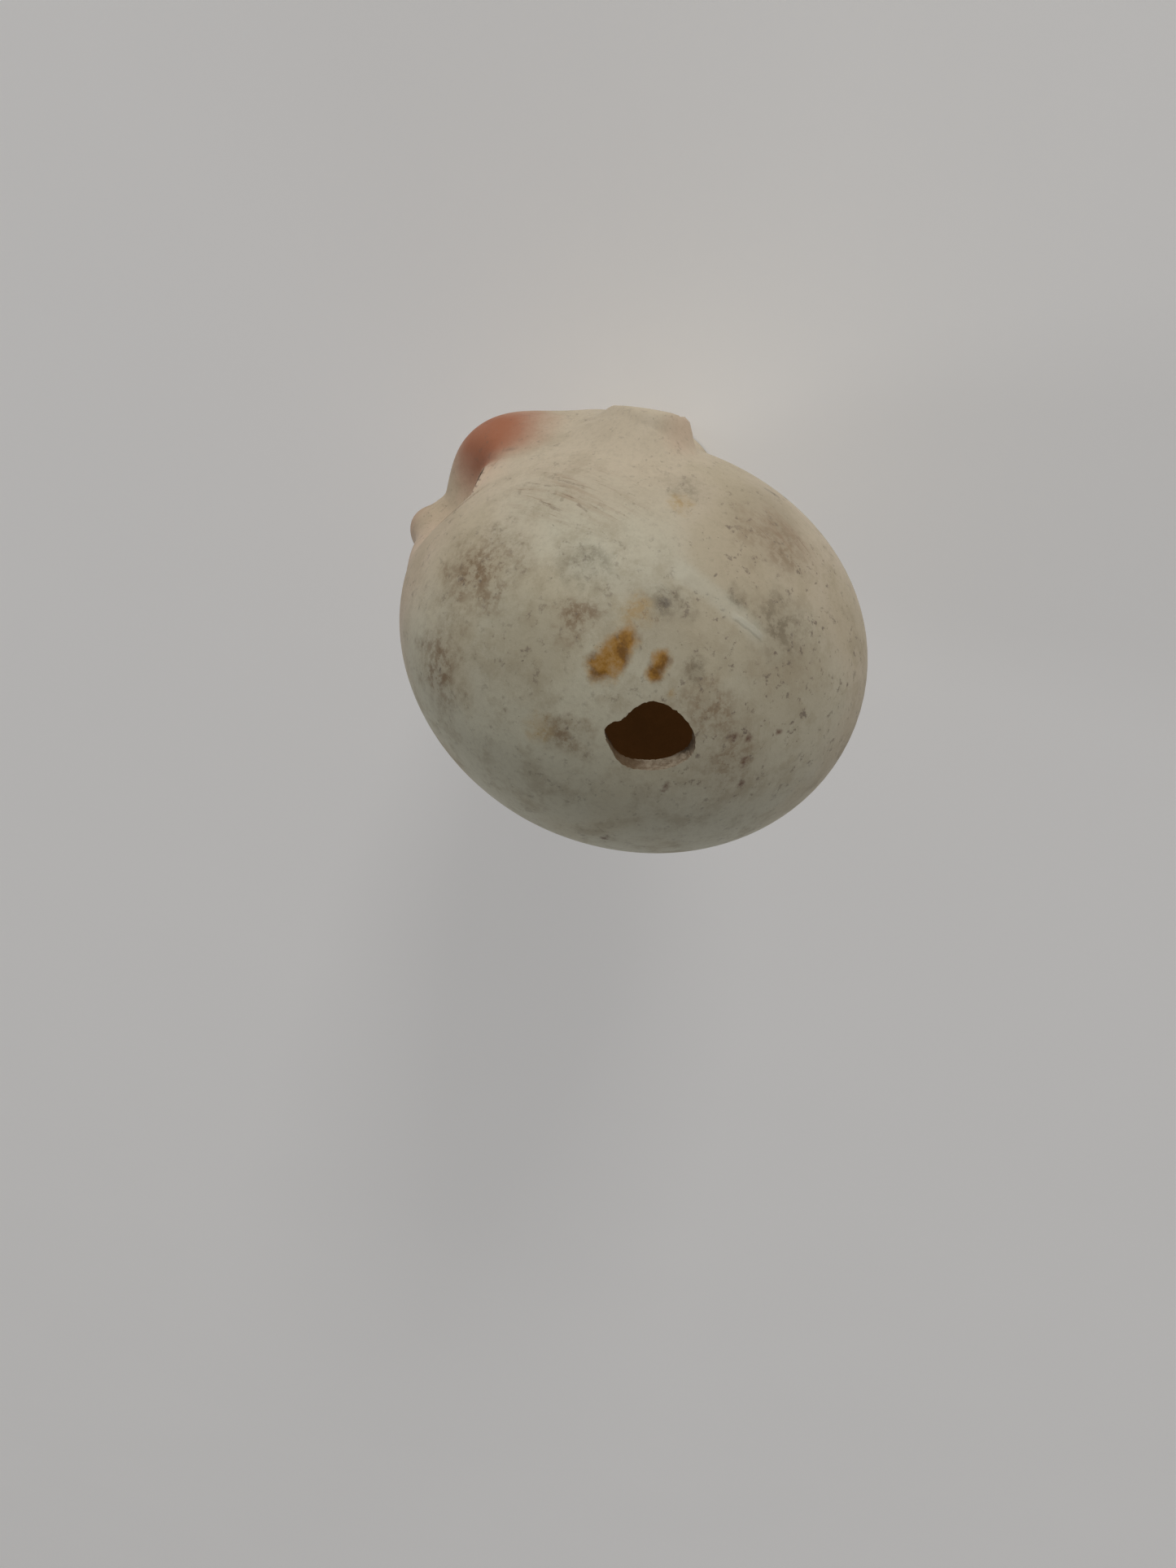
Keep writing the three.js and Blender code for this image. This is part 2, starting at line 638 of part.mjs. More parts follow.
/** The cork in the chin that the weight rests against while the eyes are open. */
function chinCork() {
  const towardsChin = new THREE.Vector3(0, stemDirection.z, -stemDirection.y);
  const profile = [
    new THREE.Vector2(0, 0),
    new THREE.Vector2(corkRadius, 0),
    new THREE.Vector2(corkRadius, corkReach),
    new THREE.Vector2(0, corkReach),
  ];
  const cork = new THREE.LatheGeometry(profile, roundSides);
  const turn = new THREE.Quaternion().setFromUnitVectors(new THREE.Vector3(0, 1, 0), towardsChin);
  cork.applyQuaternion(turn);
  const start = weightCentre.clone().addScaledVector(stemDirection, weightLength / 4);
  start.addScaledVector(towardsChin, weightRadius + runningGap);
  cork.translate(start.x, start.y, start.z);
  return geometryFrom(solidFrom(cork).intersect(hollow(runningGap)));
}

/** A named piece with its own finish. */
function piece(name, geometry, color, roughness, metalness) {
  const mesh = new THREE.Mesh(geometry, new THREE.MeshStandardMaterial({ color, roughness, metalness }));
  mesh.name = name;
  return mesh;
}

const head = new THREE.Group();
head.add(piece('head_shell', headShell(), 0xefe6d8, 0.55, 0));
for (const [name, side] of [['left', 1], ['right', -1]]) {
  const ball = piece(`${name}_eyeball`, eyeball(), 0xf4f2ee, 0.08, 0);
  ball.position.set(side * eyeCentre.x, eyeCentre.y, eyeCentre.z);
  const lid = piece(`${name}_eyelid`, eyelid(), 0xe2bfa8, 0.45, 0);
  lid.position.copy(ball.position);
  head.add(ball, lid);
  head.add(piece(`${name}_eye_plaster`, eyePlaster(side), 0xe9e4da, 0.9, 0));
  head.add(piece(`${name}_temple_plaster`, templePlaster(side), 0xe5dfd2, 0.9, 0));
}
head.add(piece('yoke_wire', yokeWire(), 0x6b5a4c, 0.6, 0.8));
const weight = piece('lead_weight', leadWeight(), 0x70726f, 0.55, 0.7);
weight.position.copy(weightCentre);
weight.quaternion.setFromUnitVectors(new THREE.Vector3(0, -1, 0), stemDirection);
head.add(weight);
head.add(piece('chin_cork', chinCork(), 0xa97c50, 0.85, 0));

export default head;
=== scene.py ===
import bpy
import numpy as np
from mathutils import Matrix, Vector


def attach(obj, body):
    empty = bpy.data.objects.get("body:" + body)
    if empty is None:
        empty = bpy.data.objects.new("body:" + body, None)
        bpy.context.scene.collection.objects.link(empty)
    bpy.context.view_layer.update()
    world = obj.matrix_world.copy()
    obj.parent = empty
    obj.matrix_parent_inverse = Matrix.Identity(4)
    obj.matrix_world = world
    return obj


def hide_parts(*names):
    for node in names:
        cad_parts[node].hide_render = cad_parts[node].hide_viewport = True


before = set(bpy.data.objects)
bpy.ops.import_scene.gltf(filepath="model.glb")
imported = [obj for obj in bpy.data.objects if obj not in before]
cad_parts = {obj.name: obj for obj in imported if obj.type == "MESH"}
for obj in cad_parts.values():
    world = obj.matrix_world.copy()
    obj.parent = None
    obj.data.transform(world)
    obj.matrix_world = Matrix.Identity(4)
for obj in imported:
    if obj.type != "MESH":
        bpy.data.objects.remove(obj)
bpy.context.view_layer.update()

# The bisque shell: porcelain slip poured into a plaster mould and tipped out again, so its wall is
# even, with the eye openings cut by hand in the leather-hard clay, fired once and left unglazed.
# Lengths are in millimetres: z up to the crown, the face along -y, x to the doll's left.
mm = 0.001
skull_centre = np.array([0.0, 3.0, 42.5])
skull_half_width, skull_front, skull_back = 24.7, 29.7, 31.7
skull_top, skull_bottom = 30.3, 28.0
temple_taper = 0.06
bisque_wall = 2.6
neck_radius, neck_column_height = 10.0, 20.0
flange_radius, flange_thickness, flange_fade = 11.6, 1.6, 2.0
eye_centre = np.array([9.411, -13.899, 39.0])
socket_front, socket_lip, socket_radius = 6.75, 1.1, 8.6
fan_start = 9.6

# Soft masses that the modeller built the head from: centre, half sizes, softness of the join.
face_masses = [
    ((0.0, -6.0, 28.0), (18.5, 18.0, 17.0), 6.0),
    ((10.5, -6.0, 29.5), (10.6, 12.0, 12.0), 5.0),
    ((9.16, -17.17, 30.49), (9.1, 9.1, 9.1), 4.0),
    ((0.0, -17.79, 17.44), (6.4, 6.0, 5.6), 5.0),
]
eye_hollow = ((10.0, -31.45, 39.56), (8.2, 11.6, 7.0), 3.5)
face_details = [
    ((0.0, -23.88, 37.18), (2.3, 3.2, 6.5), 3.0),
    ((0.0, -26.2, 33.48), (3.2, 3.2, 2.9), 2.2),
    ((2.84, -24.47, 32.36), (1.9, 2.2, 1.7), 1.2),
    ((1.85, -23.28, 25.98), (3.3, 2.3, 1.35), 1.0),
    ((0.0, -22.84, 23.18), (3.4, 2.4, 1.7), 1.4),
]
almond_half_length, almond_upper, almond_lower = 4.45, 2.7, 2.1
almond_offset, almond_slant = 0.15, 0.1
mouth_height = 24.72
nostril_centre, nostril_size = (1.35, -27.5, 31.2), (0.72, 1.2, 0.75)
ear_centre = np.array([-5.3, 34.6])
ear_half_length, ear_half_height = 8.3, 9.2


def unit(v):
    """Vectors of length one: each divided by its length."""
    return v / np.linalg.norm(v, axis=-1, keepdims=True)


def full_turn(count):
    """Angles of a whole turn in even steps."""
    return np.linspace(0, 2 * np.pi, count, endpoint=False)


def joined(a, b, soft):
    """The smaller of two distances, rounded over where they differ by less than soft."""
    h = np.clip(0.5 + 0.5 * (b - a) / soft, 0, 1)
    return b * (1 - h) + a * h - soft * h * (1 - h)


def egg_distance(p, centre, size):
    """About the distance to an ellipsoid: k (k - 1) / |gradient|, with k the scaled radius."""
    q = p - np.asarray(centre)
    size = np.asarray(size, float)
    k = np.sqrt(((q / size) ** 2).sum(-1))
    slope = np.sqrt(((q / size**2) ** 2).sum(-1)) + 1e-9
    return k * (k - 1) / slope


def halved(p):
    """The same points with x made positive, because the head is alike on both sides."""
    q = p.copy()
    q[..., 0] = np.abs(q[..., 0])
    return q


def main_form(p):
    """Skull of four half ellipsoids narrowed to the face, with face, jowls, cheeks and chin joined
    on and the hollows round the eyes pressed in."""
    q = halved(p)
    d = q - skull_centre
    depth = np.where(d[..., 1] < 0, skull_front, skull_back)
    rise = np.where(d[..., 2] > 0, skull_top, skull_bottom)
    across = d[..., 0] / (1 + temple_taper * d[..., 1] / depth)
    k = np.sqrt((across / skull_half_width) ** 2 + (d[..., 1] / depth) ** 2 + (d[..., 2] / rise) ** 2)
    steepness = (across / skull_half_width**2) ** 2 + (d[..., 1] / depth**2) ** 2 + (d[..., 2] / rise**2) ** 2
    f = k * (k - 1) / (np.sqrt(steepness) + 1e-9)
    for centre, size, soft in face_masses:
        f = joined(f, egg_distance(q, centre, size), soft)
    return -joined(-f, egg_distance(q, eye_hollow[0], eye_hollow[1]), eye_hollow[2])


def bump(value, centre, width):
    """A bell curve of height one."""
    return np.exp(-(((value - centre) / width) ** 2))


def mouth_line(x):
    """Height of the line between the lips: a small dip in the middle and corners turned up."""
    return mouth_height - 0.3 * bump(x, 0.0, 1.0) + 0.2 * bump(x, 1.4, 0.9) + 0.03 * x**2


def almond_radius(q):
    """How far out a point lies from one eye's line of sight: 1 on the lid's edge, which is two
    parabolas, one above and one below."""
    across = (q[..., 0] - eye_centre[0] - almond_offset) / almond_half_length
    up = q[..., 2] - eye_centre[2] + 0.02 * (q[..., 0] - eye_centre[0])
    return np.abs(up) / np.where(up > 0, almond_upper, almond_lower) + across**2


def carved_lines(q):
    """What the modelling tool cut into the face (positive) or left proud of it (negative)."""
    front = np.clip((-q[..., 1] - 12.0) / 4.0, 0, 1)
    x, z = q[..., 0], q[..., 2]
    line = 0.42 * bump(z, mouth_line(x), 0.3) * np.clip((4.1 - x) / 1.2, 0, 1)
    corner = 0.35 * bump(np.hypot(x - 4.3, z - mouth_line(x)), 0.0, 0.7)
    philtrum = 0.26 * bump(x, 0.0, 0.7) * np.clip((30.6 - z) / 1.2, 0, 1) * np.clip((z - 26.8) / 0.8, 0, 1)
    ridges = -0.16 * bump(x, 1.35, 0.55) * np.clip((30.4 - z) / 1.2, 0, 1) * np.clip((z - 26.9) / 0.8, 0, 1)
    r = almond_radius(q)
    above = np.clip((z - eye_centre[2] + 0.8) / 1.6, 0, 1)
    lid_edge = -0.24 * bump(r, 1.14, 0.16)
    crease = 0.3 * above * bump(r, 1.72, 0.16)
    below = 0.14 * (1 - above) * bump(r, 2.0, 0.3)
    return front * (line + corner + philtrum + ridges + lid_edge + crease + below)


def eased(value, low, high):
    """A smooth step from 0 to 1 as the value goes from low to high: t squared times (3 - 2 t)."""
    t = np.clip((value - low) / (high - low), 0, 1)
    return t * t * (3 - 2 * t)


def ear_rise(q):
    """How far the ear stands off the head: a ramp to the back times an edge that is steep behind and
    soft in front and above, with a rolled rim, a groove, an inner ridge, a bowl, a flap and a lobe,
    each a bell curve over shares of the ear's half length and half height."""
    up = (q[..., 2] - ear_centre[1]) / ear_half_height
    back = ((q[..., 1] - ear_centre[0]) / ear_half_length - 0.14 * up) / (1 + 0.08 * up)
    radius = np.hypot(back, up)
    width = np.minimum(0.27 + 1.35 * np.clip(up + 0.2, 0, 1) + 1.1 * np.clip(-back, 0, 1), 1)
    inward = np.clip((1 - radius) / width, 0, 1)
    soft = np.clip(1.5 * width - 0.25, 0, 1)
    edge = np.sqrt(inward) * (1 - soft) + eased(inward, 0, 1) * soft
    ramp = (2.5 + 1.6 * np.clip((1 + back) / 2, 0, 1)) * (0.36 + 0.64 * eased(up, -0.8, 0.05))
    low = eased(-up, 0.0, 0.45)
    rim = (0.3 + 0.3 * low) * np.clip(0.45 + 0.55 * back + 0.3 * up, 0, 1) * bump(radius, 0.82, 0.12)
    groove = -0.75 * low * np.clip(0.5 + 0.6 * back, 0, 1) * bump(radius, 0.62, 0.09)
    ridge = 0.4 * low * np.clip(0.5 + 0.6 * back, 0, 1) * bump(radius, 0.46, 0.09)
    hump = 0.65 * bump(np.hypot(back + 0.05, up), 0.0, 0.42)
    bowl = -1.9 * bump(np.hypot(back + 0.02, (up + 0.42) * 0.9), 0.0, 0.27)
    flap = 0.7 * bump(np.hypot(back + 0.42, (up + 0.42) * 0.8), 0.0, 0.13)
    lobe = 0.35 * bump(np.hypot(back - 0.05, up + 0.8), 0.0, 0.16)
    return (ramp + rim + groove + ridge + hump + bowl + flap + lobe) * edge * eased(q[..., 0], 12, 17)


def outline_of_neck(z):
    """Neck radius at a height: the flange at the rim fades into the groove for the tying thread."""
    above_flange = np.clip(z - flange_thickness, 0, None)
    return neck_radius + (flange_radius - neck_radius) * np.exp(-((above_flange / flange_fade) ** 2))


def skin(p):
    """Distance to the outside: main form, eyelids, nose, lips, ears, carved lines, flanged neck."""
    q = halved(p)
    f = main_form(p)
    bulge = socket_front + socket_lip
    f = joined(f, egg_distance(q, eye_centre, (bulge, bulge, bulge)), 2.2)
    for centre, size, soft in face_details:
        f = joined(f, egg_distance(q, centre, size), soft)
    f = -joined(-f, egg_distance(q, nostril_centre, nostril_size), 0.5)
    f = f + carved_lines(q) - ear_rise(q)
    out_of_neck = np.hypot(p[..., 0], p[..., 1]) - outline_of_neck(p[..., 2])
    return joined(f, np.maximum(out_of_neck, p[..., 2] - neck_column_height), 5.0)


def hollow(p):
    """Distance to the inside: the main form drawn in by the wall, with a ground socket behind each
    eye opening."""
    column = np.maximum(np.hypot(p[..., 0], p[..., 1]) - neck_radius, p[..., 2] - neck_column_height)
    form = joined(main_form(p), column, 5.0) + bisque_wall
    socket_centre = eye_centre + [0, socket_radius - socket_front, 0]
    socket = np.linalg.norm(halved(p) - socket_centre, axis=-1) - socket_radius
    return joined(form, socket, 0.8)


def along_rays(start, direction, distance, reach=60.0):
    """Where rays from inside leave a form, all found together by halving."""
    near = np.zeros(direction.shape[:-1])
    far = np.full(direction.shape[:-1], reach)
    for _ in range(24):
        middle = (near + far) / 2
        inside = distance(start + direction * middle[..., None]) < 0
        near, far = np.where(inside, middle, near), np.where(inside, far, middle)
    return start + direction * ((near + far) / 2)[..., None]


def crowded(count, spots):
    """Numbers from 0 to 1 in even steps, drawn together at each spot (place, width, strength)."""
    fine = np.linspace(0, 1, 4001)
    density = 1 + sum(strength * bump(fine, place, width) for place, width, strength in spots)
    total = np.concatenate([[0], np.cumsum((density[1:] + density[:-1]) / 2)])
    return np.interp(np.linspace(0, 1, count), total / total[-1], fine)


def head_rings(distance, low, columns, neck_rows, fan_rows, face_strength, ear_strength):
    """Rings of a head-shaped skin as an array (row, column, 3), and its crown: level rows up the neck,
    then rays from the skull's centre whose tilt runs from the last level row up to the crown."""
    closer = [(0.5, 0.13, face_strength), (0.3, 0.05, ear_strength), (0.7, 0.05, ear_strength)]
    turn = (crowded(columns + 1, closer)[:-1] * 2 - 1) * np.pi
    outward = np.stack([np.sin(turn), -np.cos(turn), 0 * turn], -1)
    levels = np.linspace(low, fan_start, neck_rows + 1)
    starts = np.zeros((len(levels), 1, 3))
    starts[:, 0, 2] = levels
    lower = along_rays(starts, np.broadcast_to(outward, (len(levels), columns, 3)), distance)
    first = unit(lower[-1] - skull_centre)
    rise = crowded(fan_rows + 1, [(0.33, 0.17, face_strength)])[1:-1, None]
    tilt = np.arcsin(first[:, 2]) * (1 - rise) + np.pi / 2 * rise
    rays = np.concatenate([np.cos(tilt)[..., None] * unit(first[:, :2]), np.sin(tilt)[..., None]], -1)
    upper = along_rays(skull_centre, rays, distance)
    crown = along_rays(skull_centre, np.array([[0.0, 0.0, 1.0]]), distance)[0]
    return np.concatenate([lower, upper]), crown


def new_piece(name, points, faces):
    """A mesh object from points (n, 3) in millimetres and faces by the numbers of their points."""
    mesh = bpy.data.meshes.new(name)
    mesh.from_pydata((points * mm).tolist(), [], faces)
    piece = bpy.data.objects.new(name, mesh)
    bpy.context.scene.collection.objects.link(piece)
    return piece


def closed_skin(name, rings, first_pole, last_pole):
    """A closed mesh from rings (row, column, 3) with a point closing each end. Its faces point outwards
    where the rings run anticlockwise, seen from the last pole."""
    rows, columns = rings.shape[:2]
    points = np.concatenate([rings.reshape(-1, 3), [first_pole], [last_pole]])
    index = np.arange(rows * columns).reshape(rows, columns)
    after = np.roll(index, -1, axis=1)
    quads = np.stack([index[:-1], after[:-1], after[1:], index[1:]], -1).reshape(-1, 4)
    bottom = np.stack([after[0], index[0], np.full(columns, len(points) - 2)], -1)
    top = np.stack([index[-1], after[-1], np.full(columns, len(points) - 1)], -1)
    return new_piece(name, points, quads.tolist() + bottom.tolist() + top.tolist())


fullness = 1.0
columns, neck_rows, fan_rows = (int(count * fullness) for count in (330, 24, 232))
rings, crown = head_rings(skin, 0.0, columns, neck_rows, fan_rows, face_strength=2.2, ear_strength=1.8)
head = closed_skin("bisque_head", rings, (0, 0, 0), crown)
hollow_start = -2.0
rings, crown = head_rings(hollow, hollow_start, 110, 8, 80, face_strength=0.6, ear_strength=0.0)
head_hollow = closed_skin("head_hollow", rings, (0, 0, hollow_start), crown)


def prism(name, outline, low, high, along, side, up):
    """A closed prism: an outline (n, 2) in the plane of two directions, swept along a third."""
    points = np.concatenate([(outline @ np.stack([side, up])) + along * reach for reach in (low, high)])
    n = len(outline)
    i = np.arange(n)
    j = (i + 1) % n
    walls = np.stack([i, j, j + n, i + n], -1).tolist()
    return new_piece(name, points, walls + [(n - 1 - i).tolist(), (i + n).tolist()])


def between(p0, p1, p2, p3, t):
    """The smooth cubic from p1 to p2 (Catmull-Rom), whose slope at each is half the way from the point
    before it to the point after it."""
    square, cube = 2 * p0 - 5 * p1 + 4 * p2 - p3, 3 * p1 - p0 - 3 * p2 + p3
    return 0.5 * (2 * p1 + (p2 - p0) * t + square * t**2 + cube * t**3)


def smooth_loop(points, steps):
    """A closed line through points (n, d) by smooth cubics, steps to each."""
    before, after, last = (np.roll(points, shift, axis=0) for shift in (1, -1, -2))
    t = np.arange(steps)[None, :, None] / steps
    line = between(*(a[:, None] for a in (before, points, after, last)), t)
    return line.reshape(-1, points.shape[1])


# The hole that a fall broke in the crown, seen square on: x to the back of the head and y to the
# doll's right, clockwise, with the notch at its front corner.
hole_centre = np.array([-7.509, 7.307, 71.012])
hole_edge = np.array([
    [-4.85, -1.15], [-4.3, -0.1], [-3.7, 0.22], [-3.3, 0.8], [-2.5, 2.2], [-1.5, 3.15], [-0.3, 3.5],
    [1.5, 3.28], [3.0, 2.65], [4.4, 1.65], [5.2, 0.4], [5.4, -0.95], [4.6, -2.35], [3.1, -3.5],
    [1.2, -4.3], [-0.7, -4.6], [-2.2, -4.2], [-3.5, -3.1], [-4.4, -2.1],
])
outward = unit(hole_centre - skull_centre)
to_back = unit(np.array([0.0, 1.0, 0.0]) - outward * outward[1])
to_right = np.cross(outward, to_back)
rng = np.random.default_rng(7)
chipped = smooth_loop(hole_edge, 7)
chipped += rng.normal(0, 0.035, chipped.shape)
hole_cut_reach = 4.5
crown_cut = prism("crown_cut", chipped[::-1], -hole_cut_reach, hole_cut_reach, outward, to_back, to_right)
crown_cut.data.transform(Matrix.Translation(Vector(hole_centre * mm)))

ahead, upward, to_left = np.array([0.0, -1.0, 0.0]), np.array([0.0, 0.0, 1.0]), np.array([1.0, 0.0, 0.0])
eye_cut_start, eye_cut_length = 2.9, 12.0
left_and_right = ((1, "left"), (-1, "right"))


def almond_edge(t, height):
    """One edge of the almond opening: a parabola over t from -1 to 1, slanted down to the outside."""
    across = almond_offset + almond_half_length * t
    return np.stack([across, height * (1 - t**2) - almond_slant * (1 + t)], -1)


eye_cuts = []
for side, name in left_and_right:
    t = np.linspace(-1, 1, 28)
    almond = np.concatenate([almond_edge(t[1:-1], -almond_lower), almond_edge(t, almond_upper)[::-1]])
    almond *= [side, 1]
    cut = prism(f"{name}_eye_cut", almond[::side], 0.0, eye_cut_length, ahead, to_left, upward)
    cut.data.transform(Matrix.Translation(Vector((eye_centre * [side, 1, 1] + ahead * eye_cut_start) * mm)))
    eye_cuts.append(cut)


def carved(piece, cuts):
    """The piece with others cut out of it, as one new mesh; the others are removed."""
    for other in cuts:
        step = piece.modifiers.new(other.name, "BOOLEAN")
        step.operation, step.object, step.solver = "DIFFERENCE", other, "MANIFOLD"
    bpy.context.view_layer.update()
    shaped = bpy.data.meshes.new_from_object(piece.evaluated_get(bpy.context.evaluated_depsgraph_get()))
    piece.modifiers.clear()
    old, piece.data = piece.data, shaped
    bpy.data.meshes.remove(old)
    for other in cuts:
        bpy.data.objects.remove(other)


carved(head, [head_hollow, crown_cut, *eye_cuts])


class Finish:
    """A material being mixed: one Principled shader, fed by patterns read at each point's own place
    in the object, in millimetres."""

    def __init__(self, name, **fixed):
        self.material = bpy.data.materials.new(name)
        self.material.use_nodes = True
        self.tree = self.material.node_tree
        self.shader = self.tree.nodes["Principled BSDF"]
        self.shade(**fixed)
        place = self.tree.nodes.new("ShaderNodeTexCoord").outputs["Object"]
        self.at = self.vector("SCALE", place, scale=1 / mm)
        split = self.node("ShaderNodeSeparateXYZ", self.at)
        self.x, self.y, self.z = split.outputs
        self.side = self.unsigned(self.x)
        self.folded = self.node("ShaderNodeCombineXYZ", self.side, self.y, self.z).outputs[0]
        self.drifts = {}
        self.waver = None

    def node(self, kind, *inputs, **settings):
        """A new node with its settings made and its first inputs fed, in their order."""
        made = self.tree.nodes.new(kind)
        for key, value in settings.items():
            setattr(made, key, value)
        for socket, value in zip(made.inputs, inputs):
            self.feed(socket, value)
        return made

    def feed(self, socket, value):
        """Links an output to a socket, or sets the socket to a plain value."""
        if isinstance(value, bpy.types.NodeSocket):
            self.tree.links.new(value, socket)
        elif value is not None:
            socket.default_value = value

    def shade(self, **fed):
        """Feeds the shader's sockets, each by its name with _ for a space."""
        for name, value in fed.items():
            self.feed(self.shader.inputs[name.replace("_", " ")], value)

    def math(self, operation, a, b=None):
        return self.node("ShaderNodeMath", a, b, operation=operation).outputs[0]

    def plus(self, a, b):
        return self.math("ADD", a, b)

    def minus(self, a, b):
        return self.math("SUBTRACT", a, b)

    def unsigned(self, a):
        return self.math("ABSOLUTE", a)

    def times(self, *shares):
        total = shares[0]
        for share in shares[1:]:
            total = self.math("MULTIPLY", total, share)
        return total

    def most(self, *shares):
        best = shares[0]
        for share in shares[1:]:
            best = self.math("MAXIMUM", best, share)
        return best

    def vector(self, operation, a, b=None, c=None, scale=None):
        made = self.node("ShaderNodeVectorMath", a, b, c, operation=operation)
        if scale is not None:
            made.inputs["Scale"].default_value = scale
        return made.outputs["Value" if operation in ("LENGTH", "DOT_PRODUCT") else "Vector"]

    def noise(self, per_mm, detail=3.0, rough=0.55, at=None, colour=False):
        """Cloudy noise from 0 to 1, by how many clouds there are to a millimetre."""
        made = self.node("ShaderNodeTexNoise")
        self.feed(made.inputs["Vector"], at or self.at)
        made.inputs["Scale"].default_value = per_mm
        made.inputs["Detail"].default_value = detail
        made.inputs["Roughness"].default_value = rough
        return made.outputs["Color" if colour else "Fac"]

    def step(self, value, low, high, start=0.0, end=1.0):
        """A smooth step from start to end as the value goes from low to high."""
        made = self.node("ShaderNodeMapRange", value, low, high, start, end, interpolation_type="SMOOTHSTEP")
        return made.outputs[0]

    def mix(self, share, a, b):
        """A share of colour b laid over colour a, each an output or red, green and blue."""
        made = self.node("ShaderNodeMix", data_type="RGBA")
        for socket, value in zip((made.inputs[0], made.inputs[6], made.inputs[7]), (share, a, b)):
            self.feed(socket, (*value, 1.0) if isinstance(value, tuple) else value)
        return made.outputs[2]

    def drift(self, per_mm):
        """A wandering vector from about -0.5 to 0.5, the same for every patch of one scale."""
        if per_mm not in self.drifts:
            cloudy = self.noise(per_mm, 4.0, 0.6, colour=True)
            self.drifts[per_mm] = self.vector("SUBTRACT", cloudy, (0.5, 0.5, 0.5))
        return self.drifts[per_mm]

    def spot(self, centre, size, wobble, per_mm, soft=1.0, both_sides=False):
        """A patch round a place: one minus the scaled distance, with an edge wandered by noise."""
        centre, size = np.array(centre), np.array(size)
        place = self.folded if both_sides else self.at
        wandered = self.vector("MULTIPLY_ADD", self.drift(per_mm), tuple(wobble * 4 * size), place)
        away = self.vector("MULTIPLY_ADD", wandered, tuple(1 / size), tuple(-centre / size))
        return self.step(self.vector("LENGTH", away), 1.0, 1.0 - soft)

    def spots(self, *rows):
        """The strongest at each point of several patches, from a row for each: its place, half sizes,
        wobble, wander per millimetre and, where they aren't 1, its softness and its strength."""
        return self.most(*(self.times(self.spot(*row[:5]), *row[5:]) for row in rows))

    def line(self, start, end, width, wobble):
        """A thin mark from one place to another: distance to its middle along and across it."""
        start, end = np.array(start), np.array(end)
        along = unit(end - start)
        away = self.vector("SUBTRACT", self.at, tuple((start + end) / 2))
        run = self.vector("DOT_PRODUCT", away, tuple(along))
        whole = self.vector("LENGTH", away)
        square = self.minus(self.times(whole, whole), self.times(run, run))
        across = self.math("SQRT", self.math("MAXIMUM", square, 0.0))
        if self.waver is None:
            self.waver = self.minus(self.noise(0.9), 0.5)
        across = self.plus(across, self.times(self.waver, wobble))
        half = float(np.linalg.norm(end - start) / 2)
        ends = self.step(self.unsigned(run), half, half * 0.6)
        return self.times(ends, self.step(self.unsigned(across), width, width * 0.3))

    def lines(self, *rows):
        """The strongest at each point of several thin marks: start, end, width and wobble of each."""
        return self.most(*(self.line(*row) for row in rows))

    def relief(self, *layers):
        """Chains bumps: each layer is (height, depth in millimetres)."""
        normal = None
        for height, depth in layers:
            made = self.node("ShaderNodeBump")
            made.inputs["Distance"].default_value = depth * mm
            self.feed(made.inputs["Height"], height)
            if normal is not None:
                self.feed(made.inputs["Normal"], normal)
            normal = made.outputs[0]
        self.shade(Normal=normal)


def fired_body(f, cloud, patches, grain):
    """Greenish white on the crown and creamy lower down, rosier to the front, with handling worn in
    as clouds, patches and fine grain, least on the face and the ears."""
    high = f.plus(f.z, f.times(f.minus(cloud, 0.5), 26.0))
    colour = f.mix(f.step(high, 46.0, 66.0), (0.60, 0.515, 0.385), (0.575, 0.55, 0.425))
    rosy = f.step(f.minus(f.times(f.y, -1.0), f.times(f.z, 0.25)), 5.0, 16.0)
    colour = f.mix(f.times(rosy, 0.75), colour, (0.61, 0.465, 0.345))
    colour = f.mix(f.times(f.step(cloud, 0.52, 0.36), 0.4), colour, (0.48, 0.415, 0.275))
    off_the_ears = f.step(f.side, 24.0, 19.5, 0.12, 0.44)
    off_the_face = f.step(f.plus(f.y, f.times(f.z, 0.3)), -8.0, 2.0, 0.35, 1.0)
    worn = f.times(off_the_ears, off_the_face)
    colour = f.mix(f.times(f.step(patches, 0.46, 0.66), worn), colour, (0.335, 0.275, 0.18))
    return f.mix(f.times(f.step(grain, 0.46, 0.66), 0.18), colour, (0.30, 0.25, 0.18))


def fired_blush(f, colour):
    """Blush dabbed on before the last firing: strong on the cheeks, faint on the nose, the chin, over
    the eyes and on the ears, and painted light beside each eye that lifts the shade of the hollow."""
    blush = f.spot((15.2, -21.8, 32.8), (9.6, 10.6, 9.8), 0.1, 0.15, 0.75, both_sides=True)
    nose = f.spot((0.0, -28.6, 33.0), (4.2, 3.5, 3.4), 0.1, 0.2, 0.9)
    chin = f.spot((0.0, -23.5, 16.5), (6.0, 4.0, 4.5), 0.1, 0.2, 0.95)
    over_eye = f.spot((9.4, -20.0, 43.0), (7.0, 6.0, 3.6), 0.1, 0.2, 0.95, both_sides=True)
    ear = f.times(f.spot((26.0, 0.5, 35.0), (4.0, 4.0, 6.5), 0.3, 0.2, 0.95, both_sides=True), 0.6)
    colour = f.mix(f.times(f.most(nose, chin, over_eye, ear), 0.28), colour, (0.56, 0.22, 0.13))
    colour = f.mix(f.times(blush, 0.92), colour, (0.385, 0.125, 0.055))
    # Painted light: a paler patch beside each eye, lightening the shade that falls in the hollow between cheek
    # and brow.
    pale = f.spot((13.0, -21.8, 41.8), (6.0, 6.5, 4.6), 0.1, 0.2, 0.7, both_sides=True)
    return f.mix(f.times(pale, 0.8), colour, (0.76, 0.60, 0.45))


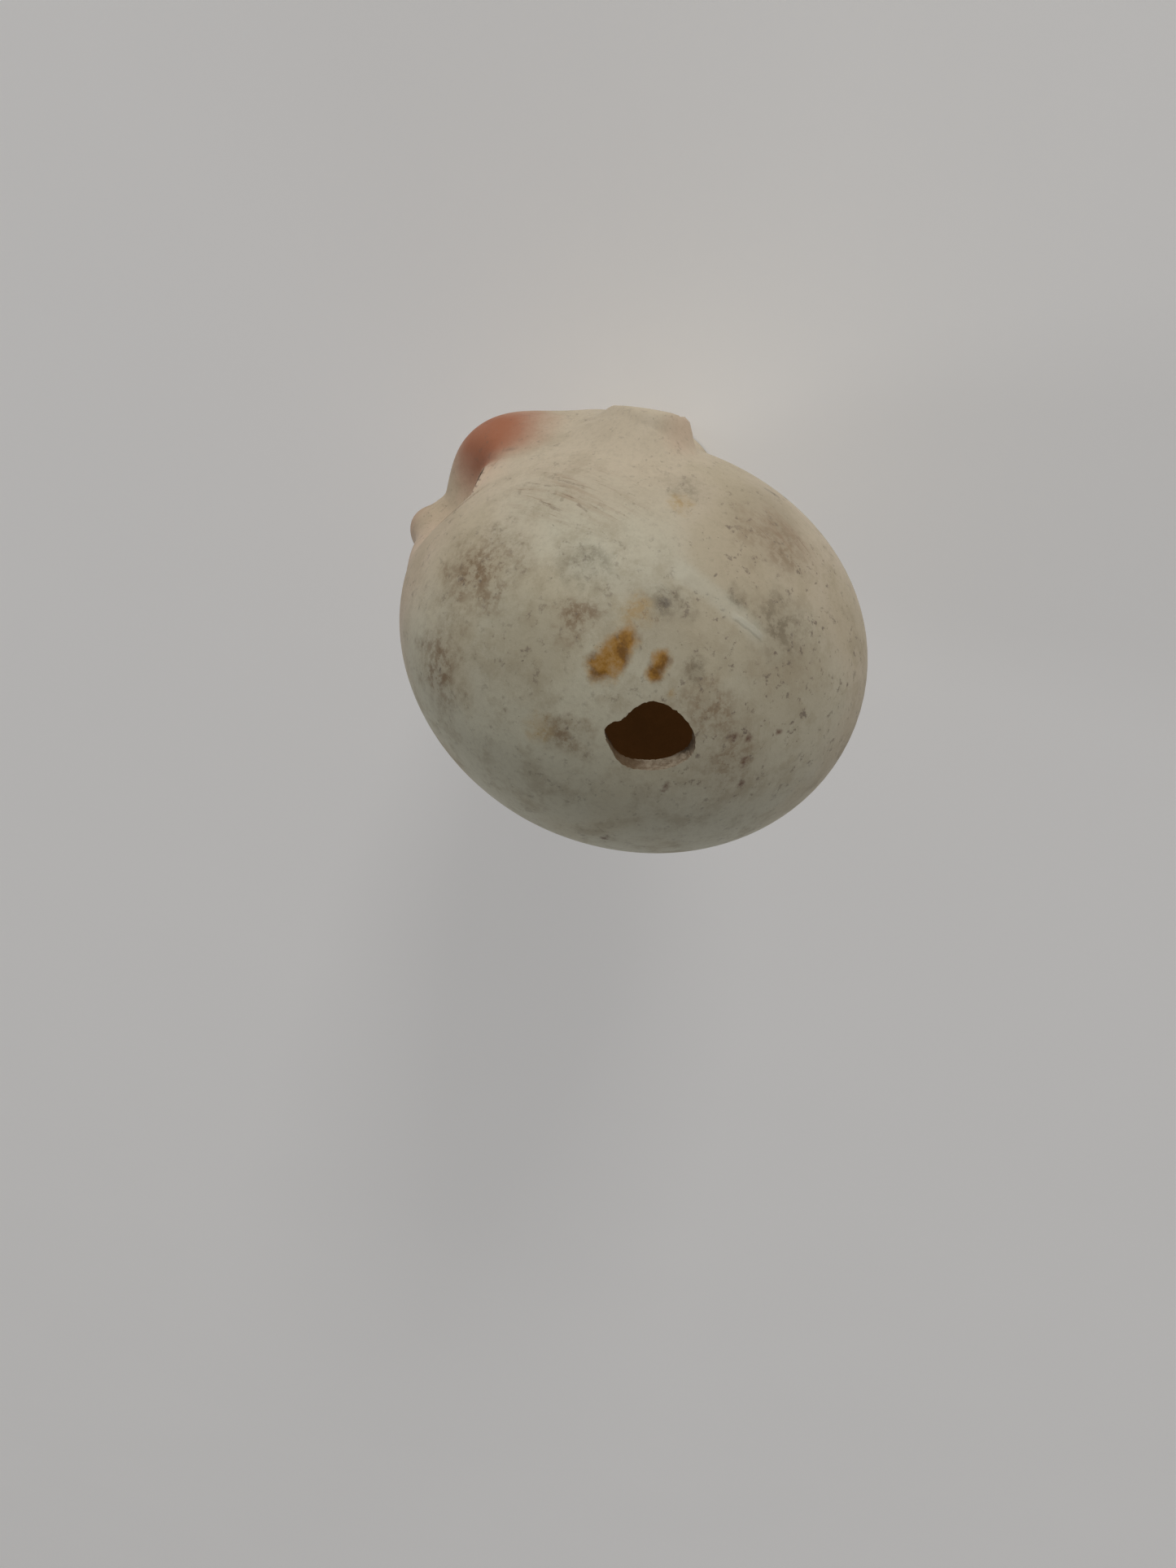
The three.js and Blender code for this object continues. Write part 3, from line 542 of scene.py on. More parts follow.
def painted_face(f, colour):
    """China paint: lips between two curves round the mouth line, brows of fine strokes laid along an
    arc, short lashes round the eye openings and a red dot in each nostril and inner eye corner."""
    front = f.step(f.y, -12.0, -16.0)
    bow = f.times(f.side, f.side)
    middle = f.plus(f.times(bow, 0.03), mouth_height)
    over = f.minus(f.z, middle)
    peak = f.minus(1.75, f.times(f.step(f.side, 0.7, 0.0), 0.35))
    upper_edge = f.times(peak, f.minus(1.0, f.times(bow, 0.085)))
    lower_edge = f.times(-1.7, f.minus(1.0, f.times(bow, 0.12)))
    below_the_top = f.step(over, upper_edge, f.minus(upper_edge, 0.35))
    above_the_bottom = f.step(over, lower_edge, f.plus(lower_edge, 0.4))
    lips = f.times(front, below_the_top, above_the_bottom)
    colour = f.mix(f.times(lips, 0.8), colour, (0.50, 0.105, 0.075))

    along = f.math("DIVIDE", f.minus(f.side, 4.6), 11.2)
    arch = f.plus(44.3, f.times(f.times(along, f.minus(1.0, along)), 11.0))
    above = f.minus(f.z, arch)
    strokes = f.math("SINE", f.plus(f.times(along, 170.0), f.times(above, 3.2)))
    hair = f.step(f.plus(strokes, f.times(f.minus(f.noise(1.2), 0.5), 1.6)), -0.9, 0.6, 0.35, 1.0)
    width = f.step(along, 1.1, 0.1, 0.3, 0.95)
    band = f.step(f.unsigned(above), width, f.times(width, 0.35))
    brow = f.times(front, hair, band, f.step(along, 0.0, 0.12), f.step(along, 1.0, 0.8))
    colour = f.mix(f.times(brow, 0.55), colour, (0.24, 0.125, 0.06))

    across = f.math("DIVIDE", f.minus(f.side, eye_centre[0] + almond_offset), almond_half_length)
    up = f.minus(f.z, eye_centre[2])
    lid = f.math("MAXIMUM", f.math("DIVIDE", up, almond_upper), f.math("DIVIDE", up, -almond_lower))
    reach = f.plus(lid, f.times(across, across))
    lean = f.minus(across, f.times(f.times(across, f.minus(reach, 1.0)), 0.3))
    comb = f.math("SINE", f.plus(f.times(lean, 44.0), f.times(f.minus(f.noise(0.8), 0.5), 3.0)))
    hairs = (f.step(comb, 0.3, 0.95), f.step(reach, 1.5, 1.15), f.step(reach, 1.02, 1.1))
    lash = f.times(front, *hairs, f.step(f.unsigned(across), 1.1, 0.85))
    colour = f.mix(f.times(lash, 0.6), colour, (0.16, 0.08, 0.045))
    rim = f.times(front, f.step(f.unsigned(f.minus(reach, 1.04)), 0.12, 0.02))
    colour = f.mix(f.times(rim, 0.4), colour, (0.25, 0.11, 0.07))
    nostril = f.spot((1.35, -27.8, 31.3), (0.8, 2.0, 0.7), 0.1, 0.5, 0.6, both_sides=True)
    corner = f.spot((4.55, -21.0, 38.8), (0.5, 3.0, 0.5), 0.1, 0.5, 0.6, both_sides=True)
    return f.mix(f.times(f.most(nostril, corner), 0.75), colour, (0.45, 0.07, 0.045))


def handling_dirt(f, colour, patches):
    """Grey and brown soiling in patches with feathered edges, a thin veil of it farther out, a dulled
    right side and back, and dark flecks and pin holes where the dirt lies."""
    grey = f.spots(
        ((-18.6, -5.0, 60.2), (4.6, 4.4, 4.2), 0.3, 0.3, 1.0, 0.7),
        ((-18.4, 17.4, 58.4), (6.6, 7.2, 6.0), 0.3, 0.3),
        ((-18.6, 4.6, 62.6), (2.6, 4.2, 3.0), 0.35, 0.4),
        ((-14.3, 9.4, 66.7), (2.4, 2.2, 2.8), 0.4, 0.4),
        ((-20.0, 11.8, 59.0), (2.6, 2.6, 2.4), 0.4, 0.4),
        ((-24.5, 2.8, 46.7), (2.4, 4.4, 4.2), 0.35, 0.4, 1.0, 0.5),
    )
    brown = f.spots(
        ((-12.0, -16.4, 59.4), (10.0, 8.4, 8.6), 0.3, 0.35),
        ((-10.9, 12.8, 68.2), (6.6, 6.4, 5.0), 0.4, 0.35),
        ((-14.6, -4.2, 65.6), (4.2, 4.4, 4.0), 0.3, 0.3),
        ((-1.2, -17.4, 64.4), (7.4, 7.4, 7.4), 0.35, 0.3),
        ((-4.0, -1.6, 72.1), (3.2, 5.0, 2.6), 0.4, 0.35),
        ((-22.8, 15.2, 48.6), (4.4, 9.0, 7.5), 0.35, 0.25),
        ((-6.5, 17.5, 68.5), (7.0, 6.4, 4.6), 0.35, 0.3),
    )
    veil = f.spots(
        ((-10.0, -9.0, 66.5), (12.0, 13.0, 11.0), 0.15, 0.15),
        ((-16.5, 3.0, 64.5), (7.0, 10.0, 7.0), 0.2, 0.2),
        ((-14.0, 19.0, 60.0), (10.0, 11.0, 11.0), 0.2, 0.2),
        ((-23.0, 13.0, 43.0), (5.0, 9.0, 12.0), 0.2, 0.2),
    )
    mottle = f.step(f.noise(0.8, 7.0, 0.72), 0.40, 0.62)
    feathered = f.step(mottle, 0.0, 1.0, 0.38, 1.0)
    colour = f.mix(f.times(veil, 0.6), colour, (0.34, 0.285, 0.19))
    colour = f.mix(f.times(grey, feathered, 0.95), colour, (0.155, 0.13, 0.082))
    colour = f.mix(f.times(brown, feathered, 0.92), colour, (0.215, 0.14, 0.074))
    dulled = f.times(f.step(f.y, -6.0, 12.0), f.step(f.x, 10.0, -8.0), f.step(f.z, 30.0, 52.0))
    colour = f.mix(f.times(dulled, 0.36), colour, (0.35, 0.285, 0.195))
    dirty = f.most(f.times(dulled, 0.85), grey, brown, f.times(veil, 0.7), 0.4)
    flecks = f.times(f.step(f.noise(1.0, 5.0, 0.68), 0.57, 0.66), f.step(patches, 0.34, 0.54), dirty)
    colour = f.mix(f.times(flecks, 0.9), colour, (0.17, 0.13, 0.10))
    pits = f.step(f.noise(2.1, 2.0, 0.5), 0.73, 0.79)
    return f.mix(f.times(pits, dirty, 0.65), colour, (0.11, 0.085, 0.065)), feathered, pits


def old_glue(f, colour, feathered):
    """Tan drips, and the amber stain of hide glue round the hole, darker where it lay thick."""
    tan = f.spots(
        ((-24.0, 2.4, 50.0), (1.8, 2.4, 2.4), 0.3, 0.5),
        ((-3.6, -4.4, 71.6), (2.8, 2.6, 1.6), 0.3, 0.5),
        ((-17.1, 1.2, 64.2), (2.6, 3.2, 3.2), 0.3, 0.4),
        ((-22.1, -6.8, 28.4), (1.6, 1.9, 1.6), 0.4, 0.6),
        ((-11.8, 8.0, 68.8), (0.8, 0.7, 0.7), 0.25, 0.8),
    )
    colour = f.mix(f.times(tan, feathered, 0.7), colour, (0.42, 0.27, 0.095))
    glue = f.spots(
        ((-13.4, 0.7, 67.8), (3.0, 2.5, 3.2), 0.2, 0.5, 0.6),
        ((-15.0, 1.4, 66.5), (2.2, 1.8, 2.2), 0.25, 0.6, 0.7),
        ((-12.0, 0.0, 68.7), (2.7, 2.7, 2.3), 0.25, 0.6, 0.7),
        ((-14.2, 5.6, 67.3), (2.1, 1.6, 2.1), 0.25, 0.7, 0.7),
        ((-13.2, 5.4, 68.0), (1.6, 1.3, 1.6), 0.25, 0.7, 0.7),
    )
    clot = f.noise(0.55, 5.0, 0.62)
    amber = f.mix(f.step(clot, 0.42, 0.62), (0.36, 0.18, 0.027), (0.18, 0.08, 0.01))
    return f.mix(f.times(glue, f.step(clot, 0.2, 0.5, 0.55, 1.0)), colour, amber)


def temple_streaks(f, colour):
    """Brown streaks down the right temple and behind the ear, rubbed in from the crown to the back:
    a broad noise and a fine one, each drawn out about ten times along the way of the rub."""
    lengthways = f.times(f.vector("DOT_PRODUCT", f.at, (-0.39, 0.80, 0.46)), 0.10)
    crossways = f.times(f.vector("DOT_PRODUCT", f.at, (0.15, -0.45, 0.88)), 0.95)
    broad, fine = (
        f.noise(*scale, at=f.node("ShaderNodeCombineXYZ", lengthways, crossways, 0.0).outputs[0])
        for scale in ((1.0, 5.0, 0.66), (2.6, 4.0, 0.6))
    )
    temple = f.spots(
        ((-20.5, -9.0, 50.5), (7.0, 13.0, 8.5), 0.25, 0.2, 0.9),
        ((-22.5, 15.0, 46.5), (5.0, 8.0, 7.0), 0.3, 0.2, 0.9),
    )
    colour = f.mix(f.times(temple, 0.22), colour, (0.38, 0.31, 0.215))
    colour = f.mix(f.times(temple, f.step(broad, 0.46, 0.66), 0.42), colour, (0.35, 0.24, 0.155))
    strands = f.times(temple, f.step(broad, 0.40, 0.56), f.step(fine, 0.56, 0.68), 0.65)
    return f.mix(strands, colour, (0.23, 0.145, 0.085))


def marks_of_use(f, colour, patches, grain):
    """Rust specks, sooty smudges and scratches, a pale smeared streak and a low ridge behind the hole,
    their pale colour partly a painted highlight on the raised line, and grime in the groove of the neck."""
    rust = f.spots(
        ((-8.7, 16.3, 68.0), (0.9, 0.85, 0.7), 0.6, 0.9),
        ((-8.5, 18.0, 67.2), (1.0, 0.8, 0.7), 0.6, 0.9),
        ((-9.1, 21.4, 64.7), (0.6, 0.65, 0.8), 0.5, 1.0),
        ((-5.8, 18.8, 67.9), (0.9, 1.0, 0.7), 0.6, 0.9),
        ((-2.9, 19.6, 68.1), (1.0, 0.7, 0.6), 0.6, 1.0),
        ((10.2, 7.5, 69.8), (1.4, 0.9, 0.7), 0.6, 0.8),
        ((-22.3, -6.8, 29.8), (0.9, 1.2, 0.8), 0.6, 0.8),
        ((-1.8, 11.2, 71.7), (1.0, 0.9, 0.6), 0.6, 0.8),
    )
    colour = f.mix(f.times(rust, f.step(grain, 0.35, 0.55, 0.6, 1.0), 0.9), colour, (0.125, 0.05, 0.028))
    soot = f.spots(
        ((-23.3, 13.5, 37.1), (1.2, 1.6, 0.8), 0.6, 0.8),
        ((-21.7, 15.6, 33.6), (1.0, 1.2, 0.9), 0.6, 0.8),
        ((-17.2, -18.9, 37.4), (1.0, 1.4, 0.8), 0.4, 0.6, 1.0, 0.6),
        ((-18.5, 4.1, 62.6), (0.7, 1.0, 1.1), 0.6, 0.9),
    )
    colour = f.mix(f.times(soot, 0.66), colour, (0.10, 0.08, 0.065))
    scratch = f.lines(
        ((0.9, 16.7, 69.8), (-4.3, 20.7, 67.1), 0.16, 0.5),
        ((-18.3, -15.3, 47.3), (-20.0, -11.8, 49.3), 0.26, 0.5),
        ((-18.9, -13.1, 51.3), (-19.8, -9.7, 53.9), 0.3, 0.7),
        ((-20.7, -8.7, 52.4), (-20.9, -7.0, 53.9), 0.26, 0.6),
        ((-20.2, -12.2, 47.6), (-21.9, -7.8, 50.0), 0.24, 0.7),
        ((-21.6, -6.4, 51.0), (-21.9, -2.6, 53.0), 0.24, 0.7),
    )
    colour = f.mix(f.times(scratch, f.step(grain, 0.35, 0.6, 0.3, 1.0), 0.55), colour, (0.24, 0.17, 0.12))
    # The pale colour on the ridge and the smeared streak is partly a painted highlight along the raised line.
    ridge = f.line((-19.0, 11.3, 60.7), (-17.3, 16.1, 60.7), 0.6, 0.4)
    smear_with_highlight = f.line((-21.6, 2.6, 58.6), (-16.8, 16.8, 60.9), 1.9, 0.8)
    colour = f.mix(f.times(smear_with_highlight, 0.36), colour, (0.60, 0.595, 0.49))
    colour = f.mix(f.times(ridge, 0.25), colour, (0.58, 0.58, 0.50))
    groove = f.times(f.step(f.unsigned(f.minus(f.z, 6.2)), 3.6, 0.6), f.step(patches, 0.35, 0.6))
    return f.mix(f.times(groove, 0.4), colour, (0.30, 0.24, 0.17)), scratch, ridge


def bisque_finish():
    """Unglazed porcelain: the fired body and its blush, the painted face, dirt, old glue, streaks and
    marks over them, then by the wall_depth attribute the raw broken wall, with painted shade on part
    of it, and the brown inside, with a faint painted glow standing in for the little light that the
    thin wall lets through."""
    f = Finish("bisque", Specular_IOR_Level=0.3, Emission_Strength=1.0)
    cloud = f.noise(0.075, 3.0, 0.5)
    patches = f.noise(0.24, 6.0, 0.66)
    grain = f.noise(1.5, 7.0, 0.74)
    colour = fired_blush(f, fired_body(f, cloud, patches, grain))
    colour, feathered, pits = handling_dirt(f, painted_face(f, colour), patches)
    colour = temple_streaks(f, old_glue(f, colour, feathered))
    colour, scratch, ridge = marks_of_use(f, colour, patches, grain)

    depth = f.node("ShaderNodeAttribute", attribute_name="wall_depth").outputs["Fac"]
    raw = f.mix(f.step(grain, 0.35, 0.65), (0.44, 0.37, 0.275), (0.22, 0.165, 0.11))
    # Painted shade: part of the broken wall darkened so that it runs into the dark of the hole.
    painted_wall_shade = f.spot((-3.0, 4.6, 71.0), (3.4, 4.2, 4.0), 0.1, 0.5, 0.4)
    raw = f.mix(f.times(painted_wall_shade, 0.8), raw, (0.13, 0.08, 0.04))
    colour = f.mix(f.step(depth, 0.2, 0.45), colour, raw)
    inside = f.mix(f.step(patches, 0.3, 0.7), (0.42, 0.27, 0.12), (0.26, 0.15, 0.06))
    colour = f.mix(f.step(depth, 0.6, 0.9), colour, inside)
    # Painted glow: the hollow gives off a faint light of its own, standing in for light that comes through the
    # thin wall.
    painted_glow = f.mix(f.step(depth, 0.6, 0.9), (0.0, 0.0, 0.0), (0.0165, 0.0078, 0.0026))
    polish = f.step(f.plus(patches, f.times(grain, 0.3)), 0.3, 1.0, 0.46, 0.7)
    f.shade(Base_Color=colour, Emission_Color=painted_glow, Roughness=polish)
    f.relief((cloud, 0.5), (patches, 0.14), (grain, 0.03), (ridge, 0.09), (scratch, -0.05), (pits, -0.04))
    return f.material


def mark_wall_depth(mesh):
    """Marks each face 0 on the outside, 0.5 across the broken wall and 1 in the hollow, by how far its
    middle is from the two surfaces."""
    centres = np.empty(len(mesh.polygons) * 3)
    mesh.polygons.foreach_get("center", centres)
    centres = centres.reshape(-1, 3) / mm
    skin_deep, hollow_deep, past_the_hole = 0.25, 0.12, 16.0
    in_wall = (skin(centres) < -skin_deep) & (np.abs(centres[:, 0]) < past_the_hole)
    depth = np.where(hollow(centres) < hollow_deep, 1.0, np.where(in_wall, 0.5, 0.0))
    corners = np.empty(len(mesh.polygons), np.int32)
    mesh.polygons.foreach_get("loop_total", corners)
    mark = mesh.attributes.new("wall_depth", "FLOAT", "CORNER")
    mark.data.foreach_set("value", np.repeat(depth, corners).astype(np.float32))


def dressed(piece, sharp, finish):
    """Gives the piece its one material, and smooth faces with hard edges where the surface turns by
    more than an angle in degrees."""
    piece.data.polygons.foreach_set("use_smooth", np.ones(len(piece.data.polygons), bool))
    piece.data.set_sharp_from_angle(angle=np.radians(sharp))
    piece.data.materials.clear()
    piece.data.materials.append(finish)


mark_wall_depth(head.data)
dressed(head, 55, bisque_finish())
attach(head, "head")
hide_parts("head_shell")

# The two glass eyes: hollow balls of opaque white glass, open at the back where the blower's stem
# was broken off, with threads of blue-grey glass melted on for the iris and a black drop inside it.
glass_radius, glass_thickness, glass_mouth = 5.8, 0.9, 2.9


def turned(name, profile, centre, axis, sides):
    """A turned piece: a profile (radius, place along the axis) carried round the axis, from one
    point on it to another."""
    axis = unit(np.asarray(axis, float))
    side = unit(np.cross(axis, to_left))
    turn = full_turn(sides)[:, None]
    spokes = np.cos(turn) * side + np.sin(turn) * np.cross(axis, side)
    rings = centre + profile[:, 1, None, None] * axis + profile[:, 0, None, None] * spokes
    return closed_skin(name, rings[1:-1], rings[0, 0], rings[-1, 0])


def arc(radius, start, end, steps):
    """Points (radius, place) of a circle about the eye's centre, by the angle from its front."""
    angle = np.linspace(start, end, steps)
    return np.stack([radius * np.sin(angle), -radius * np.cos(angle)], -1)


def eye_glass():
    """White glass, with the iris drawn by the distance and the angle from the line of sight."""
    f = Finish("eye_glass", Roughness=0.07, Coat_Weight=0.2, Coat_Roughness=0.02, Specular_IOR_Level=0.5)
    across = f.minus(f.side, eye_centre[0])
    up = f.minus(f.z, eye_centre[2])
    away = f.math("SQRT", f.plus(f.times(across, across), f.times(up, up)))
    away = f.plus(away, f.times(f.minus(f.noise(2.5), 0.5), 0.12))
    angle = f.math("ARCTAN2", up, across)
    round_the_eye = (f.times(f.math("COSINE", angle), 9.0), f.times(f.math("SINE", angle), 9.0))
    ring = f.node("ShaderNodeCombineXYZ", *round_the_eye, f.times(away, 0.5)).outputs[0]
    threads = f.step(f.noise(1.0, 3.0, 0.7, at=ring), 0.4, 0.62)
    iris = f.mix(threads, (0.06, 0.115, 0.2), (0.30, 0.38, 0.46))
    iris = f.mix(f.step(away, 1.5, 1.05), iris, (0.16, 0.19, 0.2))
    iris = f.mix(f.step(away, 2.3, 2.75), iris, (0.02, 0.035, 0.07))
    white = f.mix(f.noise(0.5, 3.0), (0.82, 0.83, 0.81), (0.74, 0.75, 0.74))
    colour = f.mix(f.step(away, 2.95, 2.75), white, iris)
    colour = f.mix(f.step(away, 1.2, 1.08), colour, (0.004, 0.004, 0.005))
    front = f.step(f.y, eye_centre[1] + 0.5, eye_centre[1] - 0.5)
    f.shade(Base_Color=f.mix(front, white, colour))
    f.relief((f.noise(0.3, 2.0), 0.05))
    return f.material


glass_finish = eye_glass()
glass_inside = glass_radius - glass_thickness
outer_mouth, inner_mouth = (np.pi - np.arcsin(glass_mouth / radius) for radius in (glass_radius, glass_inside))
ball = np.concatenate([arc(glass_radius, 0, outer_mouth, 60), arc(glass_inside, inner_mouth, 0, 36)])
ball[[0, -1], 0] = 0
for side, name in left_and_right:
    eye = turned(f"{name}_glass_eye", ball, eye_centre * [side, 1, 1], (0, 1, 0), 96)
    dressed(eye, 50, glass_finish)
    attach(eye, "eyes")
    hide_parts(f"{name}_eyeball")

# The lids: a cap of flesh-coloured wax brushed over the top of each eyeball, which comes down over
# the glass when the eyes turn, with a thin brown line painted along its front edge.
lid_inner, lid_outer = 6.0, 6.45
lid_low, lid_high, lid_side = np.radians(30), np.radians(102), np.radians(62)


def lid_rings():
    """Closed sections of the cap from one end to the other: an ellipse squared off in angle of lift
    and in radius, drawn together at both ends."""
    run = np.linspace(-1, 1, 61)[:, None]
    turn = full_turn(72)[None]
    square = (np.abs(np.cos(turn)) ** 6 + np.abs(np.sin(turn)) ** 6) ** (-1 / 6)
    ends = np.clip(1 - np.abs(run) ** 24, 0, 1) ** 0.5
    lift = (lid_low + lid_high) / 2 + (lid_high - lid_low) / 2 * np.cos(turn) * square * (0.2 + 0.8 * ends)
    radius = (lid_inner + lid_outer) / 2 + (lid_outer - lid_inner) / 2 * np.sin(turn) * square * ends
    around = run * lid_side + 0 * turn
    level = radius * np.cos(around)
    return np.stack([radius * np.sin(around), -level * np.cos(lift), level * np.sin(lift)], -1)


def lid_wax():
    """Wax with a soft satin, faint brush lines and a brown line along the front edge, which is found
    by the angle of lift round the eye's centre."""
    soft = {"Subsurface_Weight": 0.15, "Subsurface_Scale": 0.001}
    f = Finish("lid_wax", Roughness=0.42, Specular_IOR_Level=0.45, **soft)
    ahead = f.minus(eye_centre[1], f.y)
    up = f.minus(f.z, eye_centre[2])
    lift = f.math("ARCTAN2", up, ahead)
    colour = f.mix(f.noise(0.5, 4.0), (0.70, 0.44, 0.32), (0.60, 0.35, 0.25))
    colour = f.mix(f.times(f.step(lift, 1.0, 0.6), 0.35), colour, (0.48, 0.24, 0.20))
    colour = f.mix(f.times(f.step(lift, 0.60, 0.555), 0.85), colour, (0.10, 0.05, 0.03))
    colour = f.mix(f.times(f.step(f.noise(2.2, 4.0, 0.7), 0.58, 0.7), 0.35), colour, (0.30, 0.18, 0.12))
    f.shade(Base_Color=colour)
    brushed = f.node("ShaderNodeCombineXYZ", f.times(f.x, 5.0), f.times(lift, 3.0), 0.0).outputs[0]
    f.relief((f.noise(1.0, 3.0, at=brushed), 0.03), (f.noise(0.8, 3.0), 0.06))
    return f.material


wax_finish = lid_wax()
for side, name in left_and_right:
    rings = lid_rings() + eye_centre * [side, 1, 1]
    lid = closed_skin(f"{name}_wax_lid", rings, rings[0].mean(0), rings[-1].mean(0))
    dressed(lid, 60, wax_finish)
    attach(lid, "eyes")
    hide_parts(f"{name}_eyelid")

# Plaster of Paris run into the mouth of each eyeball round the wire: a plug that spreads inside the
# glass to lock it and a rough cap left outside.
plug_profile = np.array([
    [0, 2.22], [2.24, 2.36], [3.2, 2.92], [2.6, 3.62], [2.6, 5.2], [4.05, 4.75],
    [4.1, 5.6], [4.1, 6.9], [3.5, 8.04], [2.05, 8.51], [0, 8.65],
])


def softened(profile, steps, rounds):
    """The profile stepped evenly along its length, then each point but the ends drawn half way to
    the mean of its neighbours, a number of times, which rounds the corners."""
    run = np.concatenate([[0], np.cumsum(np.linalg.norm(np.diff(profile, axis=0), axis=1))])
    even = np.linspace(0, run[-1], steps)
    line = np.stack([np.interp(even, run, profile[:, i]) for i in range(2)], -1)
    for _ in range(rounds):
        line[1:-1] += 0.5 * ((line[:-2] + line[2:]) / 2 - line[1:-1])
    return line


def uneven(points, size, seed):
    """Smooth unevenness from about -1 to 1: twice the mean of nine sine waves in seeded directions,
    each one size long."""
    seeded = np.random.default_rng(seed)
    way = unit(seeded.normal(size=(9, 3))) * 2 * np.pi / size
    return 2 * np.sin(points @ way.T + seeded.uniform(0, 2 * np.pi, 9)).mean(-1)


def roughened(piece, centre, amount, size, seed):
    """Moves each vertex in towards a centre by an uneven amount, so that the piece only gets less."""
    flat = np.empty(len(piece.data.vertices) * 3)
    piece.data.vertices.foreach_get("co", flat)
    p = flat.reshape(-1, 3) / mm
    inward = centre - p
    inward /= np.linalg.norm(inward, axis=1, keepdims=True) + 1e-9
    p += inward * (amount * (0.5 + 0.5 * np.clip(uneven(p, size, seed), -1, 1)))[:, None]
    piece.data.vertices.foreach_set("co", (p * mm).ravel())


def plaster():
    """Set plaster: chalky off-white with pin holes, dust in its hollows and yellowed patches."""
    f = Finish("plaster", Roughness=0.92, Specular_IOR_Level=0.2)
    colour = f.mix(f.noise(0.5, 4.0, 0.6), (0.74, 0.70, 0.61), (0.60, 0.54, 0.44))
    colour = f.mix(f.times(f.step(f.noise(1.3, 4.0, 0.7), 0.5, 0.7), 0.5), colour, (0.40, 0.33, 0.25))
    holes = f.step(f.noise(3.6, 2.0, 0.6), 0.66, 0.72)
    f.shade(Base_Color=f.mix(f.times(holes, 0.7), colour, (0.22, 0.18, 0.14)))
    f.relief((f.noise(0.9, 4.0, 0.7), 0.25), (holes, -0.12), (f.noise(6.0, 3.0, 0.7), 0.03))
    return f.material


plaster_finish = plaster()
for side, name in left_and_right:
    centre = eye_centre * [side, 1, 1]
    plug = turned(f"{name}_eye_plug", softened(plug_profile, 90, 8), centre, (0, 1, 0), 72)
    roughened(plug, centre + [0, 6.0, 0], 0.25, 2.6, 11 + side)
    dressed(plug, 60, plaster_finish)
    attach(plug, "eyes")
    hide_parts(f"{name}_eye_plaster")

# The eye wire: one length of soft iron wire bent round behind both eyeballs, its cut ends the pivots,
# and a second length wound on at the middle that goes down into the weight.
wire_radius, cross_back, clearance = 0.45, 6.9, 0.02
weight_centre = np.array([0.0, -5.0823, 26.865])
stem_top = np.array([0.0, eye_centre[1] + cross_back, eye_centre[2]])
stem_way = unit(weight_centre - stem_top)


def open_line(points, steps):
    """An open line through points by smooth cubics, with each end carried on straight."""
    whole = np.concatenate([[2 * points[0] - points[1]], points, [2 * points[-1] - points[-2]]])
    t = np.linspace(0, 1, steps, endpoint=False)[None, :, None]
    line = between(*(whole[i : len(whole) - 3 + i, None] for i in range(4)), t)
    return np.concatenate([line.reshape(-1, 3), points[-1:]])


def rod(name, line, radius, sides, across):
    """A round rod: a circle carried along a line, its plane kept square to the line and its turn
    fixed by a direction that the line never takes, with its ends rounded over."""
    along = unit(np.gradient(line, axis=0))
    first = unit(across - along * (along @ across)[:, None])
    second = np.cross(along, first)
    turn = full_turn(sides)[:, None]
    rings = line[:, None] + radius * (np.cos(turn) * first[:, None] + np.sin(turn) * second[:, None])
    ends = ((0, -1), (-1, 1))
    caps = [line[i] + (rings[i] - line[i]) * 0.7 + along[i] * radius * 0.35 * way for i, way in ends]
    rings = np.concatenate([caps[0][None], rings, caps[1][None]])
    return closed_skin(name, rings, line[0] - along[0] * radius * 0.45, line[-1] + along[-1] * radius * 0.45)


def iron():
    """Soft iron wire gone brown: grey metal showing on high spots under rough orange-brown rust."""
    f = Finish("old_iron_wire")
    rust = f.step(f.noise(1.6, 5.0, 0.7), 0.36, 0.56)
    brown = f.mix(f.noise(4.0, 4.0, 0.7), (0.20, 0.085, 0.035), (0.09, 0.045, 0.028))
    f.shade(Base_Color=f.mix(rust, (0.22, 0.21, 0.20), brown),
            Metallic=f.step(rust, 0.0, 1.0, 0.9, 0.05),
            Roughness=f.step(rust, 0.0, 1.0, 0.42, 0.85))
    f.relief((f.noise(3.0, 5.0, 0.75), 0.06))
    return f.material


glass_gap, pin_length = 0.3, 1.2
side_off = glass_radius + glass_gap + wire_radius
share = np.array([0.2, 0.4, 0.6, 0.8, 1.0])
reach = side_off + (cross_back - side_off) * share
ex, ey, ez = eye_centre
turn = share * np.pi / 2
bend = np.stack([ex + reach * np.cos(turn), ey + reach * np.sin(turn), 0 * share + ez], -1)
pin = ex + side_off
pivot = [[pin + pin_length, ey, ez], [pin + pin_length / 2, ey, ez], [pin, ey + wire_radius / 2, ez]]
half = np.concatenate([pivot, bend, [[ex / 2, ey + cross_back, ez]]])
line = open_line(np.concatenate([half, half[::-1] * [-1, 1, 1]]), 12)
cross_wire = rod("cross_wire", line, wire_radius - clearance, 16, upward)

coil_start, coil_pitch, coil_turns = -1.4, 0.95, 3.25
stem_start, stem_length = 2.2, 14.5
turns = np.linspace(0, coil_turns, 120)
wound = wire_radius * 2 + clearance
angle = np.pi / 2 - 2 * np.pi * (turns[::-1])
coil = stem_top + np.stack([coil_start + coil_pitch * turns, wound * np.cos(angle), wound * np.sin(angle)], -1)
down = stem_way * np.linspace(stem_start, stem_length, 40)[:, None] + stem_top
leave = unit(coil[-1] - coil[-2])


def eased_bend(start, start_pull, end_pull, end, steps):
    """The cubic from one point to another that starts and ends towards two pulls (Bezier), without
    its two ends."""
    t = np.linspace(0, 1, steps)[1:-1, None]
    return (1 - t) ** 3 * start + 3 * (1 - t) ** 2 * t * start_pull + 3 * (1 - t) * t**2 * end_pull + t**3 * end


